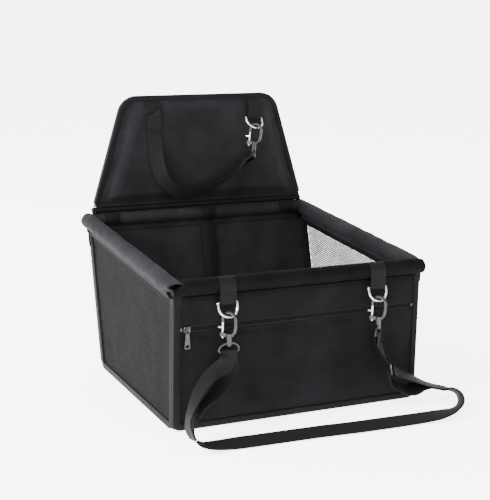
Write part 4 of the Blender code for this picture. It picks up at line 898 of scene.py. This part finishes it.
# Rings of the cuffs, in millimetres: x, drop of the middle, half depth and half height
RIGHT_CUFF = [(184.2, 0, 11.7, 11.7), (185.8, 0, 12.1, 12), (189.5, -0.2, 12.4, 11.8), (194.5, -0.3, 12.6, 11.4),
              (199, -0.3, 12.6, 11.2), (202.5, -0.3, 12.4, 11), (204.4, -0.3, 11.7, 10.4), (204.9, -0.3, 9.2, 8.2)]
LEFT_CUFF = [(-184.2, 0, 11.7, 11.7), (-185.8, -0.3, 12.1, 11.5), (-189, -2, 12.6, 9.9), (-192.5, -3.9, 12.9, 8),
             (-196, -5.3, 13.1, 6.7), (-199.5, -6, 13.4, 6.1), (-202.5, -6.2, 14.1, 6.3), (-204.2, -6.2, 15, 7)]
BACK_CUFF = [(184.2, 0, 11.7, 11.9), (189, 0, 11.7, 11.9), (193.5, 0, 11.6, 11.8), (196.2, 0, 11, 11.2),
             (197, 0, 8, 8)]
CUFF_SIDES = 28
CUFF_CLOTH = 0.0011


def cuff(name, place, rings, closed=True):
    """A sleeve's cloth, carried on round the corner over the side sleeve's end."""
    shape = bmesh.new()
    _, axis_y, axis_z = RIM_ENDS[place][0]
    turns = [2 * math.pi * corner / CUFF_SIDES for corner in range(CUFF_SIDES)]
    made = []
    for ring in rings:
        x, drop, half_y, half_z = (number / 1000 for number in ring)
        made.append([])
        for across, rise in ((math.cos(turn), math.sin(turn)) for turn in turns):
            ripple = 1 + 0.035 * noise.noise(Vector((x * 160, across * 1.6, rise * 1.6)))
            made[-1].append(shape.verts.new((x, axis_y + across * half_y * ripple,
                                             axis_z + drop + rise * half_z * ripple)))
    bridged(shape, made, closed=True)
    if closed:
        shape.faces.new(made[-1])
        shape.faces.new(made[0])
    piece = placed(shape, name)
    if not closed:
        applied(piece, "cloth", "SOLIDIFY", thickness=CUFF_CLOTH, offset=0.0)
    applied(piece, "smooth cloth", "SUBSURF", levels=1, render_levels=1)
    # Front rim: darker copy of the cloth, painted shade; side and back rims: lighter copy, painted light.
    dressed(piece, PAINTED_SHADE_OXFORD if place == "front" else PAINTED_LIGHT_OXFORD, angle=60)


CORNER_CLOTH = 0.0012
# A thin near-black cord under the front rim: painted shadow where the sleeve overhangs the wall.
SHADOW_CORD = 0.0012
SHADOW_CORD_LENGTH = 0.372
SHADOW_CORD_PLACE = (0.0, -0.1603, 0.1956)


def gusset(name, corner, first, second, material):
    """A small sewn patch: a parallelogram of cloth from a corner and its two edges."""
    corner, first, second = Vector(corner), Vector(first), Vector(second)
    shape = bmesh.new()
    bridged(shape, [[shape.verts.new(corner + first * (column / 6) + second * (row / 6)) for column in range(7)]
                    for row in range(7)])
    bmesh.ops.recalc_face_normals(shape, faces=shape.faces)
    patch = finished_sheet(shape, name, CORNER_CLOTH)
    softened(patch, 0.0003)
    wear(patch, material)


def close_corners():
    """Cloth over the rim's corners, the walls' top corners and the seams inside along the floor, and a near-black
    cord of painted shadow under the front rim.
    """
    cuff("front_rim_cuff_right", "front", RIGHT_CUFF)
    cuff("front_rim_cuff_left", "front", LEFT_CUFF, closed=False)
    cuff("back_rim_cuff_right", "back", BACK_CUFF)
    cuff("back_rim_cuff_left", "back", [(-x, *others) for x, *others in BACK_CUFF])
    patches = [
        ("back_corner_cloth", Vector((0.1845, 0.156, 0)) + BACK_UP * 0.2, (0.0177, 0, 0), BACK_UP * 0.0385, TAPE),
        ("front_corner_cloth", (0.1896, -0.1604, 0.185), (0.0107, 0, 0), (0, 0, 0.016), TAPE),
        ("front_corner_lining", (0.184, -0.1588, 0.183), (0.014, 0, 0), (0, 0, 0.018), OXFORD),
        ("side_corner_cloth", (0.2002, -0.1608, 0.185), (0, 0.014, 0), (0, 0, 0.014), TAPE),
        ("side_rear_cloth", (0.2002, 0.202, 0.2), (0, 0.0145, 0), (0, 0.004, 0.015), TAPE),
        ("side_floor_seam", (0.1895, -0.1545, 0.003), (0.0082, 0, 0), (0, 0.311, 0), LINING),
    ]
    for side, mirror in (("left", Vector((-1, 1, 1))), ("right", Vector((1, 1, 1)))):
        for name, corner, first, second, material in patches:
            gusset(f"{name}_{side}", Vector(corner) * mirror, Vector(first) * mirror, second, material)
    for place, y in (("back", 0.1485), ("front", -0.1575)):
        gusset(f"{place}_floor_seam", (-0.1977, y, 0.0031), (0.3954, 0, 0), (0, 0.01, 0), LINING)
    gusset("floor_lining", (-0.1945, -0.1535, 0.0062), (0.389, 0, 0), (0, 0.307, 0), LINING)
    # Near-black cord along the front rim's underside: painted shadow.
    cord = rod("front_rim_shadow_cord", SHADOW_CORD, SHADOW_CORD_LENGTH, SHADOW_CORD_PLACE, (0, math.pi / 2, 0), 16, 0.0003)
    dressed(cord, SHADOW_OXFORD, angle=60)


# Putting the seat together: camera first, then the free straps

def place_cords():
    """The free straps, made as webbing along their lines."""
    outer, inner, single = adjustable_strap()
    flap_line = flap_strap_line()
    straps = (("strap_outer_ply", outer, "strap_outer"), ("strap_inner_ply", inner, "strap_inner"),
              ("strap_hook_end", single, "strap_end"), ("flap_strap_ply", flap_line, "flap_strap"))
    long_ply, short_ply, hook_end, flap_ply = (woven_strap(name, line, [node], None) for name, line, node in straps)
    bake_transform(long_ply)
    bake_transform(short_ply)
    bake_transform(hook_end)
    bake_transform(flap_ply)
    for piece, line, extras in ((long_ply, outer, [hook_end, NODES["adjuster"]]), (short_ply, inner, []),
                                (flap_ply, flap_line, [])):
        middles = [place for place, _, _ in line]
        length_of(middles)


# Rim, walls and base

RIM_ENDS = {
    "front": ((-0.1861, -0.15675, 0.2085), (0.1861, -0.15675, 0.2085)),
    "back": ((-0.1861, 0.22306, 0.2319), (0.1861, 0.22306, 0.2319)),
    "left": ((-0.1979, -0.164, 0.2081), (-0.1979, 0.2305, 0.2319)),
    "right": ((0.1979, -0.164, 0.2081), (0.1979, 0.2305, 0.2319)),
}
BACK_LEAN = 0.281719
BACK_UP = Vector((0, math.sin(BACK_LEAN), math.cos(BACK_LEAN)))
BACK_OUT = Vector((0, math.cos(BACK_LEAN), -math.sin(BACK_LEAN)))
FRONT_CLOTH_BACK = -0.1586
LIP_MARGIN = 0.012


def settled(half, low, high, margin=0.02):
    """Full waves in the middle of a wall, none near its sewn edges."""
    def keep(place):
        sides = clamped((half - LIP_MARGIN - abs(place.x)) / margin)
        return sides * clamped(min(place.z - low, high - place.z) / margin)
    return keep


CREASE_X = 0.05
CREASE_HALF = 0.0035
CREASE_DEPTH = 0.0007


def pressed_crease(piece):
    """The upright line on the pocket where its divider is sewn inside."""
    for vertex in piece.data.vertices:
        reach = abs(vertex.co.x - CREASE_X - 0.004 * (vertex.co.z - 0.08) / 0.08)
        if reach < CREASE_HALF and vertex.co.y < FRONT_CLOTH_BACK:
            vertex.co.y += CREASE_DEPTH * (1 - reach / CREASE_HALF) * min(1.0, vertex.co.z / 0.03)


def place_walls():
    """The four walls, the base and the rim. Returns the pocket and the front's upper cloth for sewing."""
    pocket = sheet_of("pocket_panel", "pocket_cloth", OXFORD, (0, -1, 0), 0.005, 0.0032, 3.0,
                      settled(0.2, 0.012, 0.139), coarse=0.09, fine=0.03)
    pressed_crease(pocket)
    upper = sheet_of("front_upper_cloth", "front_top_cloth", OXFORD, (0, -1, 0), 0.006, 0.0013, 5.0,
                     settled(0.2, 0.156, 0.193, 0.012), coarse=0.08, fine=0.03)
    sheet_of("front_panel", "front_lining", LINING, (0, 1, 0), 0.01, 0.0016, 7.0,
             settled(0.196, 0.03, 0.186), coarse=0.1, fine=0.035)
    # The back wall wears the lighter copy of the cloth: painted light where it leans up to the lamps.
    sheet_of("back_panel", "back_cloth", PAINTED_LIGHT_OXFORD, BACK_OUT, 0.007, 0.0022, 9.0,
             settled(0.2, 0.016, 0.205), coarse=0.1, fine=0.035)
    sheet_of("base_panel", "base_cloth", OXFORD, (0, 0, 1), 0.02, 0.0, 11.0)
    for side in ("left", "right"):
        netting(side)
    for number, place in enumerate(RIM_ENDS):
        puckered_sleeve(place, *RIM_ENDS[place], seed=number * 7.3)
    close_corners()
    plumped("floor_pad", "floor_cushion", LINING, 0.006, 0.003, (0, 0, 1), 13.0)
    return pocket, upper


ZIP_MIDDLE = 0.149
COIL_HALF = 0.1862
COIL_PITCH = 0.0016
TOOTH_REACH = 0.0019
TOOTH_LAP = 0.0003
TOOTH_WIDTH = 0.0009
TOOTH_BACK = -0.158
TOOTH_FACE = -0.1591


def zip_coil():
    """Two rows of small nylon teeth that mesh along the zip."""
    shape = bmesh.new()
    middle_y = (TOOTH_BACK + TOOTH_FACE) / 2
    for tooth in range(int(2 * COIL_HALF / COIL_PITCH)):
        x = -COIL_HALF + (tooth + 0.5) * COIL_PITCH
        rise = 1 if tooth % 2 else -1
        near, far = ZIP_MIDDLE - rise * TOOTH_LAP, ZIP_MIDDLE + rise * TOOTH_REACH
        crown = (near + far) / 2
        profile = [(TOOTH_BACK, near), (middle_y, near - rise * 0.0002), (TOOTH_FACE, crown - rise * 0.0006),
                   (TOOTH_FACE, crown + rise * 0.0006), (middle_y, far), (TOOTH_BACK, far)]
        ends = [[shape.verts.new((x + side * TOOTH_WIDTH / 2, y, z)) for y, z in profile] for side in (-1, 1)]
        bridged(shape, ends, closed=True)
        for end in ends:
            shape.faces.new(end)
    piece = placed(shape, "zip_coil_teeth")
    laid_out(piece)
    wear(piece, COIL, "root", ["zip_teeth"])


TAB_X = 0.1215
TAB_SEAM = 0.1965
TACK_HALF = 0.0105


def place_trim():
    """Zip, tabs, back strap and patches, and the tapes that bind the walls' edges."""
    zip_coil()
    for name in ("left_tab", "right_tab", "back_wall_strap", "left_patch", "right_patch"):
        tab = band_of(name, f"{name}_webbing", STRAPPING, edge=0.0003)
        if name.endswith("_tab"):
            middle = -TAB_X if name == "left_tab" else TAB_X
            ends = [(middle + end * TACK_HALF, -0.165, TAB_SEAM) for end in (-1, 1)]
            bar_tacks(f"{name}_stitching", tab, ends, (0, -1, 0), "root", 2)
    for name in ("zip_tape_upper", "zip_tape_lower"):
        band_of(name, f"{name}_cloth", TAPE, edge=0.0002)
    return {place: band_of(f"{place}_binding", f"{place}_edge_tape", TAPE)
            for place in ("front", "back", "left", "right")}


# Flap behind the seat

FACING_HALF = 0.1888
FACING_RADIUS = 0.00505
FACING_CLOTH = 0.0002
FACING_RISE = [(0.0042, 0.0052), (0.0066, 0.0062), (0.0068, 0.008), (0.006, 0.0096), (0.0034, 0.0108),
               (0.0019, 0.013), (0.0017, 0.02)]


def hinge_facing():
    """Thin cloth from the front of the flap's piping up under the padding, so that no light shows between them."""
    angles = [math.radians(10 + 14 * step) for step in range(5)]
    profile = [(FACING_RADIUS * math.cos(angle), FACING_RADIUS * math.sin(angle)) for angle in angles] + FACING_RISE
    shape = bmesh.new()
    places = [-FACING_HALF + 2 * FACING_HALF * column / 32 for column in range(33)]
    bridged(shape, [[shape.verts.new(on_flap((x, -y, z))) for y, z in profile] for x in places][::-1])
    piece = finished_sheet(shape, "flap_hinge_cloth", FACING_CLOTH, 1.0)
    shaded(piece, 60)
    wear(piece, PADDED, "flap")


BEAD_END_IN = 0.1845
BEAD_END_OUT = 0.1925
BEAD_RADIUS = 0.0051


def bead_ends():
    """The piping's wrapped ends, out to the flap's lower corners."""
    for name, side in (("left", -1), ("right", 1)):
        middle = FLAP_HINGE + Vector((side * (BEAD_END_OUT + BEAD_END_IN) / 2, 0, 0))
        end = rod(f"flap_piping_end_{name}", BEAD_RADIUS, BEAD_END_OUT - BEAD_END_IN, middle, (0, math.pi / 2, 0), 20,
                  0.0006)
        dressed(end, TAPE, "flap", angle=60)


TAB_FOLD_X = -0.0895
TAB_FOLD = [          # share of the fold, then out from and up the flap
    (0.0, 0.0184, 0.159), (0.1, 0.0194, 0.1584), (0.2, 0.0201, 0.1572), (0.3, 0.0206, 0.155),
    (0.45, 0.0205, 0.15), (0.6, 0.0202, 0.144), (0.75, 0.0204, 0.139), (0.85, 0.0207, 0.134),
    (0.9, 0.0206, 0.1315), (0.95, 0.0201, 0.13), (1.0, 0.0192, 0.1293),
]


def place_flap():
    """The flap's pad, covers, piping, edge tape and tabs. Returns the edge tape for sewing."""
    out = FLAP_TURN @ Vector((0, -1, 0))
    plumped("flap_pad", "flap_cushion", PADDED, 0.0036, 0.004, out, 17.0)
    hinge_facing()
    bead_ends()
    sheet_of("flap_back_cover", "flap_back_cloth", OXFORD, -out, 0.007, 0.0016, 19.0,
             settled(0.162, 0.275, 0.415, 0.03))
    tape = band_of("flap_binding", "flap_edge_tape", TAPE)
    band_of("flap_bead", "flap_piping", TAPE, edge=0.0003)
    left_tab, _ = [band_of(name, f"{name}_webbing", STRAPPING, edge=0.0003)
                   for name in ("flap_tab_left", "flap_tab_right")]
    fold = stations([(on_flap((TAB_FOLD_X + 0.0012 * math.sin(3 * share), -y, z)), out) for share, y, z in TAB_FOLD])
    folded_end = woven_strap("flap_tab_fold", fold, [], "flap")
    for number, (height, cloth) in enumerate(((0.1745, left_tab), (0.153, folded_end), (0.1345, folded_end))):
        ends = [on_flap((x, -0.016, height)) for x in (-0.0992, -0.0792)]
        bar_tacks(f"flap_tab_stitching_{number}", cloth, ends, out, "flap", 1)
    return tape


# Stitching

def turned(corners, steps=6):
    """Places along a sewn line that goes round corners given as (place, radius)."""
    places = [Vector(corners[0][0])]
    for (before, _), (corner, radius), (after, _) in zip(corners, corners[1:], corners[2:]):
        corner = Vector(corner)
        enter, leave = (corner + (Vector(side) - corner).normalized() * radius for side in (before, after))
        for step in range(steps + 1):
            t = step / steps
            places.append(enter.lerp(corner, t).lerp(corner.lerp(leave, t), t))
    return places + [Vector(corners[-1][0])]


def laid_on(piece, places, look):
    """A row of stitches' places, moved onto the piece's surface; those that miss it are left out."""
    look = Vector(look).normalized()
    hits = [piece.ray_cast(place + look * 0.012, -look) for place in places]
    return [spot + look * STITCH_LIFT for found, spot, _, _ in hits if found], look


def finer(places, step=0.004):
    """The same line with places close enough to follow a wavy surface."""
    out = places[:1]
    for here, there in zip(places, places[1:]):
        parts = max(1, int((there - here).length / step))
        out += [here.lerp(there, part / parts) for part in range(1, parts + 1)]
    return out


def edge_row(piece, corners, look):
    return laid_on(piece, finer(turned(corners)), look)


SEAM_INSET = 0.0083
FLAP_SEAM_X = 0.132
FLAP_SEAM_FOOT_X = 0.1815
FLAP_SEAM_LOW = 0.013
FLAP_SEAM_HIGH = 0.179
FLAP_SEAM_ROUND = 0.026


def sew_seat(tapes, pocket, upper):
    side = 0.2 - SEAM_INSET
    low = SEAM_INSET
    depth = -0.1605
    front = [((-side, depth, 0.185), 0), ((-side, depth, low), 0.01), ((side, depth, low), 0.01),
             ((side, depth, 0.185), 0)]
    stitches("front_tape_stitching", [edge_row(tapes["front"], front, (0, -1, 0))], "root")
    rows = [edge_row(upper, [((-0.185, depth, z), 0), ((0.185, depth, z), 0)], (0, -1, 0)) for z in (0.1562, 0.189)]
    rows.append(edge_row(pocket, [((-0.185, depth, 0.1418), 0), ((0.185, depth, 0.1418), 0)], (0, -1, 0)))
    stitches("front_cloth_stitching", rows, "root")

    foot = Vector((0, 0.1575, 0)) + BACK_OUT * 0.003
    back = [(Vector((x, 0, 0)) + foot + BACK_UP * v, 0.01)
            for x, v in ((-side, 0.205), (-side, low), (side, low), (side, 0.205))]
    stitches("back_tape_stitching", [edge_row(tapes["back"], back, BACK_OUT)], "root")

    for name, sign in (("left", -1), ("right", 1)):
        low_front, low_rear, top_rear, top_front = inset_outline(wall_corners(name), [0.0021] * 4)
        corners = [((sign * 0.2, y, z), 0.008) for y, z in ((top_front[0], top_front[1] - 0.01), low_front, low_rear,
                                                            (top_rear[0] - 0.003, top_rear[1] - 0.012))]
        stitches(f"{name}_tape_stitching", [edge_row(tapes[name], corners, (sign, 0, 0))], "root")


def sew_flap(tape):
    corners = [(-FLAP_SEAM_FOOT_X, FLAP_SEAM_LOW), (-FLAP_SEAM_X, FLAP_SEAM_HIGH), (FLAP_SEAM_X, FLAP_SEAM_HIGH),
               (FLAP_SEAM_FOOT_X, FLAP_SEAM_LOW)]
    rows = []
    for sign in (-1, 1):
        seam = [(on_flap((x, sign * 0.006, z)), FLAP_SEAM_ROUND) for x, z in corners]
        rows.append(edge_row(tape, seam, FLAP_TURN @ Vector((0, sign, 0))))
    stitches("flap_tape_stitching", rows, "flap")


def bar_tacks(name, piece, ends, look, body, count):
    """Short rows across a strap, one under another."""
    rows = [laid_on(piece, finer([Vector(end) - UP * (TACK_GAP * row) for end in ends], 0.002), look)
            for row in range(count)]
    stitches(name, [row for row in rows if len(row[0]) > 1], body, length=0.003, thick=0.0004)


def finish_bare_nodes():
    """The rigid nodes keep their shapes and get this scene's finishes."""
    finishes = {"nickel": NICKEL, "dark_nickel": GUNMETAL, "tube_plastic": PLASTIC, "stiffener": STIFFENER,
                "zip_coil": COIL}
    for subpart in frame["record"]["subparts"]:
        finish = finishes.get(subpart["material_slot"])
        for slot in NODES[subpart["node"]].material_slots if finish else ():
            slot.material = finish


set_camera()
set_studio()
place_cords()
pocket_cloth, upper_cloth = place_walls()
seam_tapes = place_trim()
flap_tape = place_flap()
sew_seat(seam_tapes, pocket_cloth, upper_cloth)
sew_flap(flap_tape)
finish_bare_nodes()
